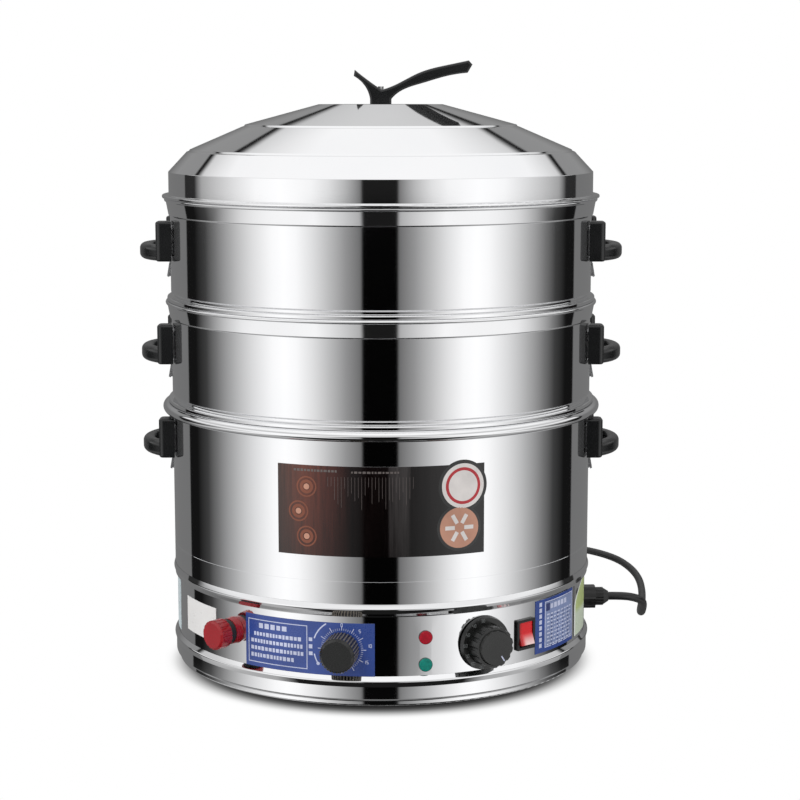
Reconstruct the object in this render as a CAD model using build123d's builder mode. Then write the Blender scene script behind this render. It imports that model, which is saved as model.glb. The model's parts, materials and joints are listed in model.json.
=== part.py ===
"""Commercial electric steamer: a heated water pot, two stacked steaming tiers and a domed lid.

The origin is on the pot's axis at the floor, +Z is up and the controls face -Y.
An azimuth is measured from the front, towards +X. All sizes are millimetres.
"""
import os
from math import atan2, cos, degrees, pi, radians, sin, sqrt, tan

from build123d import *

# Walls and heights
body_radius = 225.0
sheet = 1.0
bend = 2.0
pot_floor_height = 125.0
pot_floor_gauge = 1.5
pot_floor_flange = 9.0
rim_tube_radius = 5.4
rim_top = 279.5
seam_rise = 3.0
seam_depth = 0.35
seam_width = 0.9

# Base
base_height = 105.0
band_setback = 2.5
upper_ring_height = 13.4
lower_ring_bottom = 20.6
lower_ring_height = 10.4
ring_proud = 1.6
ring_rounding = 0.88
ring_lip = 1.6
skirt_hem = 5.0
hem_rounding = 0.4
skirt_tuck = 3.2
bottom_plate_gauge = 1.2
vent_length = 46.0
vent_width = 5.0
vent_pitch = 16.0
vent_count = 6
base_screw_setback = 13.0
screw_count = 4
flange_margin = 8.0
base_screw_radius = 2.0
base_screw_head_radius = 4.0
base_screw_head_height = 2.4
hole_reach = 12.0

# Tiers, each measured from the rim that carries it
tier_count = 2
tier_pitch = 108.5
neck_setback = 3.2
neck_depth = 13.0
neck_lip = 15.0
seat_ridge_proud = 4.0
seat_ridge_height = 4.2
wall_start = 9.0
collar_start = 90.0
collar_step = 1.5
collar_flare = 4.4
collar_bead_radius = 2.0
sheet_corner = 0.9
steam_plate_gap = 2.5
steam_plate_gauge = 1.2
steam_hole_radius = 4.0
steam_hole_pitch = 25.0
steam_hole_margin = 18.0

# Lid
lid_flange_proud = 8.0
lid_flange_height = 3.0
lid_skirt_height = 27.0
lid_corner_setback = 21.0
lid_corner_rise = 22.5
lid_step_setback = 79.5
lid_step_rise = 26.0
lid_crown_setback = 159.0
lid_crown_rise = 22.0
lid_ledge = 1.6
lid_ledge_width = 2.4

# Lid handle, whose outline runs through points given as reach and rise above the lid
stem_radius = 11.3
stem_rise = 5.5
handle_depth = 23.0
handle_rounding = 2.4
short_arm_under = ((-16.0, 18.0), (-28.5, 29.5))
short_arm_top = ((-27.5, 36.0), (-14.0, 25.5), (1.0, 15.2))
arm_reach = 97.0
arm_waist = arm_reach - 27.0
long_arm_top = ((13.3, 19.4), (41.2, 33.2), (arm_waist, 41.0), (arm_reach - 4.0, 45.8))
long_arm_end = ((arm_reach, 41.5), (arm_reach - 5.0, 33.0))
long_arm_under = ((arm_waist, 29.6), (45.0, 22.4), (18.0, 11.8))
lid_screw_radius = 3.0
lid_screw_length = 20.0
lid_screw_head_radius = 6.5
lid_screw_head_height = 3.0

# Side handles
handle_half_width = 60.0
pad_width = 21.0
pad_height = 42.0
pad_reach = 12.0
pad_rounding = 5.0
grip_corner_share = 0.42
grip_height = 17.0
grip_reach = 33.5
grip_thickness = 14.0
handle_drop = 43.0
rim_drop = 57.0
bracket_gauge = 1.6
bracket_height = 34.0
tongue_width = 26.0
tongue_length = 19.0
tongue_flare = 2.4
tongue_tip_thickness = 1.8
tongue_root = 8.0
tongue_bend = 14.0
bracket_end_gap = 4.0
bracket_corner = 4.0
handle_screw_radius = 2.4
handle_screw_spacing = 97.0
handle_screw_length = 13.0
handle_screw_head_radius = 4.5
handle_screw_head_height = 2.2

# Controls, placed by azimuth and height
timer_azimuth = -9.7
timer_height = 58.0
timer_knob_radius = 18.0
timer_knob_length = 27.0
timer_cap_radius = 15.0
timer_rib_count = 32
knurl_depth = 0.9
cap_depth = 3.0
thermostat_azimuth = 28.0
thermostat_height = 59.0
dial_radius = 27.6
dial_thickness = 5.0
grip_radius = 21.5
knob_cap_radius = 18.0
thermostat_knob_length = 25.0
flute_count = 14
flute_radius = 2.6
flute_offset = 1.43
dial_slope = 12.0
grip_slope = 2.0
cap_slope = 20.0
shaft_radius = 3.0
spindle_grip = 14.0
knob_gap = 0.8
bush_wall = 2.0
timer_body_width = 50.0
timer_body_depth = 26.0
thermostat_body_width = 42.0
thermostat_body_height = 36.0
thermostat_body_depth = 30.0
bush_blind = 4.0
body_corner = 3.0
lamp_azimuth = 11.9
red_lamp_height = 70.0
green_lamp_share = 0.282
lamp_radius = 7.0
lamp_proud = 3.0
lamp_rounding = 1.8
lamp_depth = 14.0
lamp_step = 1.0
lamp_ring_width = 3.0
lamp_ring_thickness = 4.0
switch_azimuth = 41.6
switch_height = 59.5
bezel_height = 31.6
bezel_width = 25.6
bezel_thickness = 2.5
bezel_overlap = 2.2
bezel_corner = 1.5
switch_depth = 21.0
rocker_height = 23.4
rocker_width = 18.6
rocker_tilt = 10.0
rocker_pin_depth = 3.0
rocker_valley = 4.5
rocker_belly = 7.0
rocker_clearance = 0.5
rocker_well_depth = 15.0

# Drain
drain_azimuth = -42.0
drain_height = 63.5
drain_pipe_radius = 9.5
drain_pipe_wall = 1.6
drain_pipe_bend = 26.0
drain_outlet_setback = 39.0
drain_flange_radius = 14.0
drain_flange_thickness = 8.0
drain_seal_thickness = 8.0
drain_cap_radius = 15.0
drain_cap_length = 14.5
drain_cap_floor = 4.0
drain_flute_count = 18
drain_flute_radius = 1.2
drain_flute_offset = 0.6
drain_cap_chamfer = 2.0
drain_cap_slope = 40.0
drain_flange_slope = 6.0
drain_washer_setback = 1.5

# Heater
element_radius = 4.0
element_rise = 25.0
element_setback = 95.0
element_loop_gap = 38.0
element_leg_turn = 16.0
element_open_angle = 44.0
element_tail = 22.0
element_nut_radius = 12.0
element_nut_height = 7.0
bulb_radius = 3.2
bulb_length = 70.0
bulb_near_end = 30.0
bulb_setback = 70.0
capillary_radius = 0.9
capillary_turn = 8.0
capillary_reach = 22.0

# Inside the base
cutout_radius = 8.0
cutout_height = 9.0
cutout_plate_length = 34.0
cutout_plate_width = 12.0
cutout_plate_gauge = 1.5
block_azimuth = 120.0
block_setback = 85.0
block_length = 46.0
block_width = 24.0
block_height = 18.0
block_pole_pitch = 15.0
block_pole_radius = 2.6
stud_azimuth = 150.0
stud_setback = 40.0
stud_radius = 2.5
stud_length = 14.0
stud_nut_radius = 5.0
stud_nut_height = 4.0
wire_radius = 1.3
wire_turn = 14.0
supply_reach = 28.0
switch_reach = 40.0
wire_arch = 30.0
switch_wire_rise = 12.0

# Mains cord
cord_radius = 4.5
cord_lead = 17.5
bend_share = 0.45
gland_azimuth = 93.0
gland_height = 54.0
gland_body_radius = 13.5
gland_body_length = 14.0
gland_nut_radius = 10.0
gland_nut_length = 15.0
gland_thread_radius = 8.0
gland_inner_length = 12.0
gland_flat_blend = 0.93
locknut_thickness = 5.0
gland_notch_count = 16
gland_notch_radius = 1.4
gland_notch_offset = 0.8
gland_mouth_wall = 1.2
gland_grip_share = 0.6
coil_centre = (70.0, 445.0)
coil_outer_radius = 57.6
coil_spacing = 9.6
coil_turns_per_layer = 2
coil_climb_inset = 2.0
plug_length = 38.0
plug_width = 34.0
plug_relief_length = 26.0
plug_corner = 9.0
plug_edge = 2.0
relief_start_wall = 1.0
relief_end_wall = 3.5
live_pin_spacing = 8.0
live_pin_drop = 4.0
earth_pin_rise = 7.0
live_pin_angle = 30.0
pin_length = 19.0
pin_width = 6.2
pin_gauge = 1.6

# Labels, each a thin sheet on the wall between two azimuths
label_gauge = 0.3
label_lift = 0.05
front_label_from = -26.5
front_label_to = 27.5
front_label_rise = 28.0
front_label_height = 90.5
timer_panel_from = -37.6
timer_panel_to = -1.2
timer_panel_height = 54.0
table_plate_from = 45.6
table_plate_to = 65.2
table_plate_height = 56.0
outlet_label_from = -66.5
outlet_label_to = -49.5
outlet_label_height = 36.0
left_label_from = -93.0
left_label_to = -75.0
right_label_from = 66.8
right_label_to = 80.0
side_label_height = 55.0
label_centre_height = 62.5

# Clearances
running_gap = 0.06
bore_gap = 0.2
loose_gap = 0.3

# Sizes that follow from those above
inner_radius = body_radius - sheet
band_radius = body_radius - band_setback
ring_radius = body_radius + ring_proud
upper_ring_bottom = base_height - upper_ring_height
wall_foot = upper_ring_bottom + ring_lip
rim_tube_centre = rim_top - rim_tube_radius
rim_path_radius = body_radius + rim_tube_radius
neck_radius = body_radius - neck_setback
collar_top_radius = body_radius + collar_flare
lid_seat = rim_top + tier_count * tier_pitch
pot_handle_base = rim_top - rim_drop
seat_ridge_radius = body_radius + seat_ridge_proud
lid_flange_radius = body_radius + lid_flange_proud
lid_corner_radius = body_radius - lid_corner_setback
lid_step_radius = body_radius - lid_step_setback
lid_crown_radius = body_radius - lid_crown_setback
base_screw_circle = body_radius - base_screw_setback
drain_outlet_radius = body_radius - drain_outlet_setback
element_height = pot_floor_height + element_rise
element_outer_loop = body_radius - element_setback
element_inner_loop = element_outer_loop - element_loop_gap
lower_ring_top = lower_ring_bottom + lower_ring_height
green_lamp_height = lower_ring_top + (red_lamp_height - lower_ring_top) * green_lamp_share

os.makedirs("parts", exist_ok=True)


def save(part, name):
    """Label a finished piece and write it."""
    part.part.label = name
    export_step(part.part, f"parts/{name}.step")


def around(azimuth, radius, height=0.0):
    """A point at an azimuth from the front."""
    return Vector(radius * sin(radians(azimuth)), -radius * cos(radians(azimuth)), height)


def facing_out(azimuth, radius, height):
    """A plane whose X runs round the wall to the right, Y up and Z outwards."""
    return Plane(
        origin=around(azimuth, radius, height),
        x_dir=around(azimuth + 90, 1),
        z_dir=around(azimuth, 1),
    )


def side_on(azimuth, radius, height, tilt=0.0):
    """A plane whose X points outwards, tilted up by an angle, and Y up."""
    return Plane(
        origin=around(azimuth, radius, height),
        x_dir=around(azimuth, cos(radians(tilt)), sin(radians(tilt))),
        z_dir=around(azimuth - 90, 1),
    )


def sheet_face(points, radii, gauge, side=Side.LEFT):
    """The section of a bent sheet, drawn along one face and thickened to the given side."""
    with BuildLine() as line:
        FilletPolyline(*points, radius=radii)
        offset(amount=gauge, side=side)
    make_face(line.edges())


# Pot: a drawn wall with a rolled rim, closed by a welded floor
with BuildPart() as pot_shell:
    with BuildSketch(Plane.XZ):
        with Locations(((inner_radius + body_radius) / 2, (wall_foot + rim_tube_centre) / 2)):
            Rectangle(sheet, rim_tube_centre - wall_foot)
        with Locations((rim_path_radius - sheet / 2, rim_tube_centre)):
            Circle(rim_tube_radius)
        with Locations((body_radius, pot_floor_height + seam_rise)):
            Rectangle(2 * seam_depth, seam_width, mode=Mode.SUBTRACT)
    revolve(axis=Axis.Z)
    with BuildSketch(Plane.YZ.offset(-body_radius - bend)):
        with GridLocations(handle_screw_spacing, 1, 2, 1):
            with Locations((0, pot_handle_base + pad_height / 2)):
                Circle(handle_screw_radius + bore_gap)
    extrude(amount=2 * (body_radius + bend), mode=Mode.SUBTRACT)
save(pot_shell, "pot_shell")

# The two legs of the heater and the drain pass through the pot's floor
element_start = 180 - element_open_angle / 2
leg_points = [
    around(element_start, radius, pot_floor_height) + around(element_start + 90, element_leg_turn)
    for radius in (element_inner_loop, element_outer_loop)
]
with BuildPart() as pot_floor:
    with BuildSketch(Plane.XZ):
        sheet_face(
            [
                (0, pot_floor_height),
                (inner_radius - running_gap, pot_floor_height),
                (inner_radius - running_gap, pot_floor_height + pot_floor_flange),
            ],
            bend * 2,
            pot_floor_gauge,
        )
    revolve(axis=Axis.Z)
    with Locations(*leg_points):
        Cylinder(element_radius + bore_gap, 6 * pot_floor_gauge, mode=Mode.SUBTRACT)
    with Locations(around(drain_azimuth, drain_outlet_radius, pot_floor_height)):
        Cylinder(drain_pipe_radius + bore_gap, 6 * pot_floor_gauge, mode=Mode.SUBTRACT)
save(pot_floor, "pot_floor")

# Base: ring, band with its openings, ring, skirt and bottom plate
band_inner = band_radius - sheet
lip_inner = band_inner - bend
band_low = lower_ring_bottom + ring_lip
switch_cut_height = bezel_height - 2 * bezel_overlap
switch_cut_width = bezel_width - 2 * bezel_overlap

with BuildPart() as base_band:
    with BuildSketch(Plane.XZ):
        with Locations(((band_inner + band_radius) / 2, (band_low + upper_ring_bottom) / 2)):
            Rectangle(sheet, upper_ring_bottom - band_low)
    revolve(axis=Axis.Z)
    with BuildSketch(facing_out(timer_azimuth, band_radius - hole_reach, timer_height)):
        Circle(shaft_radius + bush_wall + bore_gap)
    extrude(amount=2 * hole_reach, mode=Mode.SUBTRACT)
    with BuildSketch(facing_out(thermostat_azimuth, band_radius - hole_reach, thermostat_height)):
        Circle(shaft_radius + bush_wall + bore_gap)
    extrude(amount=2 * hole_reach, mode=Mode.SUBTRACT)
    for height in (red_lamp_height, green_lamp_height):
        with BuildSketch(facing_out(lamp_azimuth, band_radius - hole_reach, height)):
            Circle(lamp_radius - lamp_step)
        extrude(amount=2 * hole_reach, mode=Mode.SUBTRACT)
    with BuildSketch(facing_out(switch_azimuth, band_radius - hole_reach, switch_height)):
        Rectangle(switch_cut_width, switch_cut_height)
    extrude(amount=2 * hole_reach, mode=Mode.SUBTRACT)
    with BuildSketch(facing_out(drain_azimuth, band_radius - hole_reach, drain_height)):
        Circle(drain_pipe_radius + bore_gap)
    extrude(amount=2 * hole_reach, mode=Mode.SUBTRACT)
    with BuildSketch(facing_out(gland_azimuth, band_radius - hole_reach, gland_height)):
        Circle(gland_thread_radius + bore_gap)
    extrude(amount=2 * hole_reach, mode=Mode.SUBTRACT)
save(base_band, "base_band")


def trim_ring(bottom, height, lip_low):
    """A ridge round the base with an inner lip that the wall and the band stand on."""
    wall = body_radius + running_gap if lip_low else band_radius + running_gap
    with BuildPart() as ring:
        with BuildSketch(Plane.XZ):
            with BuildLine():
                Polyline(
                    (lip_inner, bottom),
                    (ring_radius, bottom),
                    (ring_radius, bottom + height),
                    (wall, bottom + height),
                    (wall, bottom + ring_lip),
                    (lip_inner, bottom + ring_lip),
                    close=True,
                )
            make_face()
        revolve(axis=Axis.Z)
        outer = ring.edges().filter_by(GeomType.CIRCLE).sort_by(SortBy.RADIUS)[-2:]
        fillet(outer, ring_rounding)
    return ring


upper_trim_ring = trim_ring(upper_ring_bottom, upper_ring_height, True)
save(upper_trim_ring, "upper_trim_ring")

flange_inner = base_screw_circle - flange_margin
with BuildPart() as lower_trim_ring:
    add(trim_ring(lower_ring_bottom, lower_ring_height, False).part)
    with BuildSketch(Plane.XY.offset(lower_ring_bottom)):
        Circle(lip_inner + ring_lip)
        Circle(flange_inner, mode=Mode.SUBTRACT)
        with PolarLocations(base_screw_circle, screw_count, start_angle=45):
            Circle(base_screw_radius + bore_gap, mode=Mode.SUBTRACT)
    extrude(amount=ring_lip)
save(lower_trim_ring, "lower_trim_ring")

hem_outer = body_radius - skirt_tuck
hem_inner = hem_outer - skirt_hem
hem_radius = (hem_outer + hem_inner) / 2
with BuildPart() as base_skirt:
    with BuildSketch(Plane.XZ) as skirt_section:
        with BuildLine():
            Polyline(
                (body_radius, lower_ring_bottom),
                (body_radius, skirt_hem + skirt_tuck),
                (hem_outer, skirt_hem),
                (hem_outer, 0),
                (hem_inner, 0),
                (hem_inner, skirt_hem),
                (hem_outer - sheet, skirt_hem),
                (body_radius - sheet, skirt_hem + skirt_tuck),
                (body_radius - sheet, lower_ring_bottom),
                close=True,
            )
        make_face()
        hem_foot = skirt_section.vertices().filter_by_position(Axis.Y, -sheet, sheet)
        fillet(hem_foot, skirt_hem * hem_rounding)
    revolve(axis=Axis.Z)
save(base_skirt, "base_skirt")

plate_low = skirt_hem
with BuildPart() as bottom_plate:
    with BuildSketch(Plane.XY.offset(plate_low)):
        Circle(hem_radius)
        with GridLocations(0, vent_pitch, 1, vent_count):
            SlotOverall(vent_length, vent_width, mode=Mode.SUBTRACT)
        with PolarLocations(base_screw_circle, screw_count, start_angle=45):
            Circle(base_screw_radius + bore_gap, mode=Mode.SUBTRACT)
    extrude(amount=bottom_plate_gauge)
save(bottom_plate, "bottom_plate")

with BuildPart() as bottom_screws:
    with BuildSketch(Plane.XY.offset(plate_low - base_screw_head_height)):
        with PolarLocations(base_screw_circle, screw_count, start_angle=45):
            Circle(base_screw_head_radius)
    extrude(amount=base_screw_head_height)
    with BuildSketch(Plane.XY.offset(plate_low)):
        with PolarLocations(base_screw_circle, screw_count, start_angle=45):
            Circle(base_screw_radius)
    extrude(amount=lower_ring_bottom + ring_lip - plate_low + bend)
save(bottom_screws, "bottom_screws")


def steaming_tier(seat):
    """One tier's shell: inner lip and neck, seat ridge, wall, flared collar and rolled bead."""
    lip = seat - neck_depth
    collar = seat + collar_start
    top = seat + tier_pitch - collar_bead_radius
    with BuildPart() as shell:
        with BuildSketch(Plane.XZ):
            sheet_face(
                [
                    (neck_radius - neck_lip, lip),
                    (neck_radius, lip),
                    (neck_radius, seat),
                    (seat_ridge_radius, seat),
                    (seat_ridge_radius, seat + seat_ridge_height),
                    (neck_radius, seat + seat_ridge_height),
                    (neck_radius, seat + wall_start - sheet),
                    (body_radius, seat + wall_start),
                    (body_radius, collar),
                    (body_radius + collar_step, collar + collar_step / 2),
                    (collar_top_radius, top),
                ],
                sheet_corner,
                sheet,
            )
            with Locations((collar_top_radius - sheet / 2, top)):
                Circle(collar_bead_radius)
        revolve(axis=Axis.Z)
        with BuildSketch(Plane.YZ.offset(-body_radius - bend)):
            with GridLocations(handle_screw_spacing, 1, 2, 1):
                with Locations((0, seat + handle_drop + pad_height / 2)):
                    Circle(handle_screw_radius + bore_gap)
        extrude(amount=2 * (body_radius + bend), mode=Mode.SUBTRACT)
    return shell


# The handle screws' heads seat inside the curved wall
screw_seat = sqrt(inner_radius**2 - (handle_screw_spacing / 2 + handle_screw_head_radius) ** 2)
handle_screw_end = screw_seat + handle_screw_length

# Steam plate: a drilled disc that lies on a tier's inner lip
plate_radius = neck_radius - sheet - steam_plate_gap
steam_hole_rings = 1 + int((plate_radius - steam_hole_margin) / steam_hole_pitch)


def steam_plate(seat):
    """A drilled disc on the lip of the tier whose seat is given."""
    with BuildPart() as plate:
        with BuildSketch(Plane.XY.offset(seat - neck_depth + sheet)):
            Circle(plate_radius)
            Circle(steam_hole_radius, mode=Mode.SUBTRACT)
            for ring in range(1, steam_hole_rings):
                with PolarLocations(ring * steam_hole_pitch, 6 * ring):
                    Circle(steam_hole_radius, mode=Mode.SUBTRACT)
        extrude(amount=steam_plate_gauge)
    return plate


# Side handles: two moulded pads joined by a bowed grip, over a steel bracket on the wall
pad_back = body_radius + bracket_gauge
pad_centre = handle_half_width - pad_width / 2
pad_front = sqrt(pad_back**2 - handle_half_width**2) + pad_reach + pad_rounding
grip_middle = body_radius + grip_reach - grip_thickness / 2


def side_handle(side, base):
    """A moulded handle. Side is 1 on the right and -1 on the left."""
    wall = sqrt(pad_back**2 - handle_half_width**2) - bend
    with BuildPart() as handle:
        with BuildSketch(Plane.XY.offset(base)):
            with Locations(((wall + pad_front) / 2, -pad_centre), ((wall + pad_front) / 2, pad_centre)):
                Rectangle(pad_front - wall, pad_width)
        extrude(amount=pad_height)
        uprights = handle.edges().filter_by(Axis.Z)
        fillet(uprights.filter_by_position(Axis.X, pad_front - 1, pad_front + 1), pad_rounding)
        rims = handle.faces().filter_by(Axis.Z).edges()
        fillet(rims.filter_by_position(Axis.X, wall + 1, pad_front + 1), pad_rounding / 2)
        with BuildLine() as bow:
            ThreePointArc(
                (pad_front - grip_thickness / 2, -pad_centre, base + grip_height / 2),
                (grip_middle, 0, base + grip_height / 2),
                (pad_front - grip_thickness / 2, pad_centre, base + grip_height / 2),
            )
        with BuildSketch(Plane(origin=bow.line @ 0, x_dir=(0, 0, 1), z_dir=bow.line % 0)):
            RectangleRounded(grip_height, grip_thickness, grip_thickness * grip_corner_share)
        sweep(path=bow.line)
        with BuildSketch(Plane.XY.offset(base - 1)):
            Circle(pad_back)
        extrude(amount=pad_height + 2, mode=Mode.SUBTRACT)
        with BuildSketch(Plane.YZ.offset(wall)):
            with Locations((-handle_screw_spacing / 2, base + pad_height / 2)):
                Circle(handle_screw_radius + running_gap)
            with Locations((handle_screw_spacing / 2, base + pad_height / 2)):
                Circle(handle_screw_radius + running_gap)
        extrude(amount=handle_screw_end - wall + loose_gap, mode=Mode.SUBTRACT)
        if side < 0:
            mirror(about=Plane.YZ, mode=Mode.REPLACE)
    return handle


def handle_brackets(base):
    """Two curved steel straps, each with a tongue whose tip turns outwards."""
    top = base + pad_height / 2 + bracket_height / 2
    tip = base - tongue_length
    back = pad_back - running_gap
    bracket_width = 2 * (handle_half_width - bracket_end_gap)
    with BuildPart() as brackets:
        with BuildSketch(Plane.YZ):
            with Locations((0, top - bracket_height / 2)):
                RectangleRounded(bracket_width, bracket_height, bracket_corner)
            with Locations((0, top - bracket_height - tongue_length / 2)):
                Rectangle(tongue_width, tongue_length + 2 * bracket_corner)
            with GridLocations(handle_screw_spacing, 1, 2, 1):
                with Locations((0, base + pad_height / 2)):
                    Circle(handle_screw_radius + bore_gap, mode=Mode.SUBTRACT)
        extrude(amount=body_radius + grip_reach)
        with BuildSketch(Plane.XY.offset(base - 2 * tongue_length)):
            Circle(back)
            Circle(body_radius, mode=Mode.SUBTRACT)
        extrude(amount=pad_height + 4 * tongue_length, mode=Mode.INTERSECT)
        with BuildSketch(Plane.XZ):
            with BuildLine():
                Polyline(
                    (body_radius + bracket_gauge / 4, tip + tongue_root),
                    (back, tip + tongue_bend),
                    (pad_back + tongue_flare, tip),
                    (pad_back + tongue_flare - tongue_tip_thickness, tip - sheet),
                    close=True,
                )
            make_face()
        extrude(amount=tongue_width / 2, both=True)
        mirror(about=Plane.YZ)
    return brackets


def handle_screws(base):
    """Four screws, driven from inside the wall into the pads."""
    height = base + pad_height / 2
    flat = screw_seat
    with BuildPart() as screws:
        with BuildSketch(Plane.YZ.offset(flat - handle_screw_head_height)):
            with Locations((-handle_screw_spacing / 2, height), (handle_screw_spacing / 2, height)):
                Circle(handle_screw_head_radius)
        extrude(amount=handle_screw_head_height)
        with BuildSketch(Plane.YZ.offset(flat)):
            with Locations((-handle_screw_spacing / 2, height), (handle_screw_spacing / 2, height)):
                Circle(handle_screw_radius)
        extrude(amount=handle_screw_end - flat)
        mirror(about=Plane.YZ)
    return screws


handle_sets = [("pot", pot_handle_base)]
for index, tier in enumerate(("lower_tier", "upper_tier")):
    seat = rim_top + index * tier_pitch
    handle_sets.append((tier, seat + handle_drop))
    save(steaming_tier(seat), f"{tier}_shell")
    save(steam_plate(seat), f"{tier.split('_')[0]}_steam_plate")
for owner, base in handle_sets:
    save(side_handle(-1, base), f"{owner}_handle_left")
    save(side_handle(1, base), f"{owner}_handle_right")
    save(handle_brackets(base), f"{owner}_brackets")
    save(handle_screws(base), f"{owner}_screws")

# Lid: a spun dome in three steps, with a folded flange that rests on the top rim
lid_shoulder = lid_seat + lid_skirt_height
lid_corner = lid_shoulder + lid_corner_rise
lid_step = lid_corner + lid_step_rise
lid_top = lid_step + lid_crown_rise

with BuildPart() as lid_shell:
    with BuildSketch(Plane.XZ):
        sheet_face(
            [
                (neck_radius, lid_seat - neck_depth),
                (neck_radius, lid_seat),
                (lid_flange_radius, lid_seat),
                (lid_flange_radius, lid_seat + lid_flange_height),
                (body_radius + sheet, lid_seat + lid_flange_height),
                (body_radius + sheet, lid_shoulder),
                (lid_corner_radius + lid_ledge_width, lid_corner - lid_ledge),
                (lid_corner_radius, lid_corner - lid_ledge / 2),
                (lid_corner_radius - lid_ledge_width / 2, lid_corner + lid_ledge / 2),
                (lid_step_radius + lid_ledge_width, lid_step - lid_ledge),
                (lid_step_radius, lid_step - lid_ledge / 2),
                (lid_step_radius - lid_ledge_width / 2, lid_step + lid_ledge / 2),
                (lid_crown_radius, lid_top),
                (0, lid_top),
            ],
            sheet_corner,
            sheet,
        )
    revolve(axis=Axis.Z)
    with Locations((0, 0, lid_top)):
        Cylinder(lid_screw_radius + bore_gap, 6 * sheet, mode=Mode.SUBTRACT)
save(lid_shell, "lid_shell")


def above_lid(points):
    """Outline points raised onto the lid's top."""
    return [(reach, lid_top + rise) for reach, rise in points]


with BuildPart() as lid_handle:
    with BuildSketch(Plane.XZ):
        with BuildLine():
            stem_left = Line((-stem_radius, lid_top), (-stem_radius, lid_top + stem_rise))
            left_under = Spline(stem_left @ 1, *above_lid(short_arm_under))
            left_top = Spline(*above_lid(short_arm_top))
            Line(left_under @ 1, left_top @ 0)
            right_top = Spline(left_top @ 1, *above_lid(long_arm_top))
            blunt_end = Polyline(right_top @ 1, *above_lid(long_arm_end))
            stem_right = (stem_radius, lid_top + stem_rise)
            Spline(blunt_end @ 1, *above_lid(long_arm_under), stem_right)
            Polyline(stem_right, (stem_radius, lid_top), (-stem_radius, lid_top))
        make_face()
    extrude(amount=handle_depth / 2, both=True)
    sides = lid_handle.faces().filter_by(Axis.Y)
    rims = sides.edges().filter_by_position(Axis.Z, lid_top + 1, lid_top + arm_reach)
    fillet(rims, handle_rounding)
    with BuildSketch(Plane.XY.offset(lid_top)):
        Circle(lid_screw_radius + running_gap)
    extrude(amount=lid_screw_length, mode=Mode.SUBTRACT)
save(lid_handle, "lid_handle")

with BuildPart() as lid_screw:
    with BuildSketch(Plane.XY.offset(lid_top - sheet - lid_screw_head_height)):
        Circle(lid_screw_head_radius)
    extrude(amount=lid_screw_head_height)
    with BuildSketch(Plane.XY.offset(lid_top - sheet)):
        Circle(lid_screw_radius)
    extrude(amount=lid_screw_length - loose_gap)
save(lid_screw, "lid_screw")

# Knobs, their spindles and the bodies behind the band
knob_back = band_radius + label_gauge + knob_gap
spindle_end = knob_back + spindle_grip


def control_body(azimuth, height, width, tall, deep):
    """A body against the inside of the band, with a bush through it for the spindle."""
    with BuildPart() as body:
        with BuildSketch(facing_out(azimuth, band_inner - deep, height)):
            RectangleRounded(width, tall, body_corner)
        extrude(amount=deep)
        with BuildSketch(Plane.XY.offset(height - tall)):
            Circle(band_inner - running_gap)
        extrude(amount=2 * tall, mode=Mode.INTERSECT)
        with BuildSketch(facing_out(azimuth, band_inner - bush_blind, height)):
            Circle(shaft_radius + bush_wall)
        extrude(amount=bush_blind + sheet + label_gauge)
        with BuildSketch(facing_out(azimuth, band_inner - deep + bush_blind, height)):
            Circle(shaft_radius + running_gap)
        extrude(amount=deep + bush_blind, mode=Mode.SUBTRACT)
    return body


def spindle(azimuth, height, deep):
    """A round spindle from inside a control body to inside its knob."""
    with BuildPart() as rod:
        inner_end = band_inner - deep + bush_blind + loose_gap
        with BuildSketch(facing_out(azimuth, inner_end, height)):
            Circle(shaft_radius)
        extrude(amount=spindle_end - inner_end)
    return rod


timer_body = control_body(
    timer_azimuth,
    timer_height,
    timer_body_width,
    timer_body_width,
    timer_body_depth,
)
save(timer_body, "timer_body")
save(spindle(timer_azimuth, timer_height, timer_body_depth), "timer_spindle")
thermostat_body = control_body(
    thermostat_azimuth,
    thermostat_height,
    thermostat_body_width,
    thermostat_body_height,
    thermostat_body_depth,
)
save(thermostat_body, "thermostat_body")
save(spindle(thermostat_azimuth, thermostat_height, thermostat_body_depth), "thermostat_spindle")

with BuildPart() as timer_knob:
    with BuildSketch(facing_out(timer_azimuth, knob_back, timer_height)):
        Circle(timer_knob_radius - knurl_depth)
        with PolarLocations(timer_knob_radius - knurl_depth, timer_rib_count):
            Circle(knurl_depth)
    extrude(amount=timer_knob_length - cap_depth)
    cap_taper = degrees(atan2(timer_knob_radius - knurl_depth - timer_cap_radius, cap_depth))
    with BuildSketch(facing_out(timer_azimuth, knob_back + timer_knob_length - cap_depth, timer_height)):
        Circle(timer_knob_radius - knurl_depth)
    extrude(amount=cap_depth, taper=cap_taper)
    with BuildSketch(facing_out(timer_azimuth, knob_back, timer_height)):
        Circle(shaft_radius + running_gap / 2)
    extrude(amount=spindle_grip + loose_gap, mode=Mode.SUBTRACT)
save(timer_knob, "timer_knob")

with BuildPart() as thermostat_knob:
    dial_plane = facing_out(thermostat_azimuth, knob_back, thermostat_height)
    with BuildSketch(dial_plane):
        Circle(dial_radius)
    extrude(amount=dial_thickness, taper=dial_slope)
    with BuildSketch(dial_plane.offset(dial_thickness)):
        Circle(grip_radius)
        with PolarLocations(grip_radius + flute_offset, flute_count):
            Circle(flute_radius, mode=Mode.SUBTRACT)
    extrude(amount=thermostat_knob_length - dial_thickness - cap_depth, taper=grip_slope)
    with BuildSketch(dial_plane.offset(thermostat_knob_length - cap_depth)):
        Circle(knob_cap_radius)
    extrude(amount=cap_depth, taper=cap_slope)
    with BuildSketch(dial_plane):
        Circle(shaft_radius + running_gap / 2)
    extrude(amount=spindle_grip + loose_gap, mode=Mode.SUBTRACT)
save(thermostat_knob, "thermostat_knob")

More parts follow.
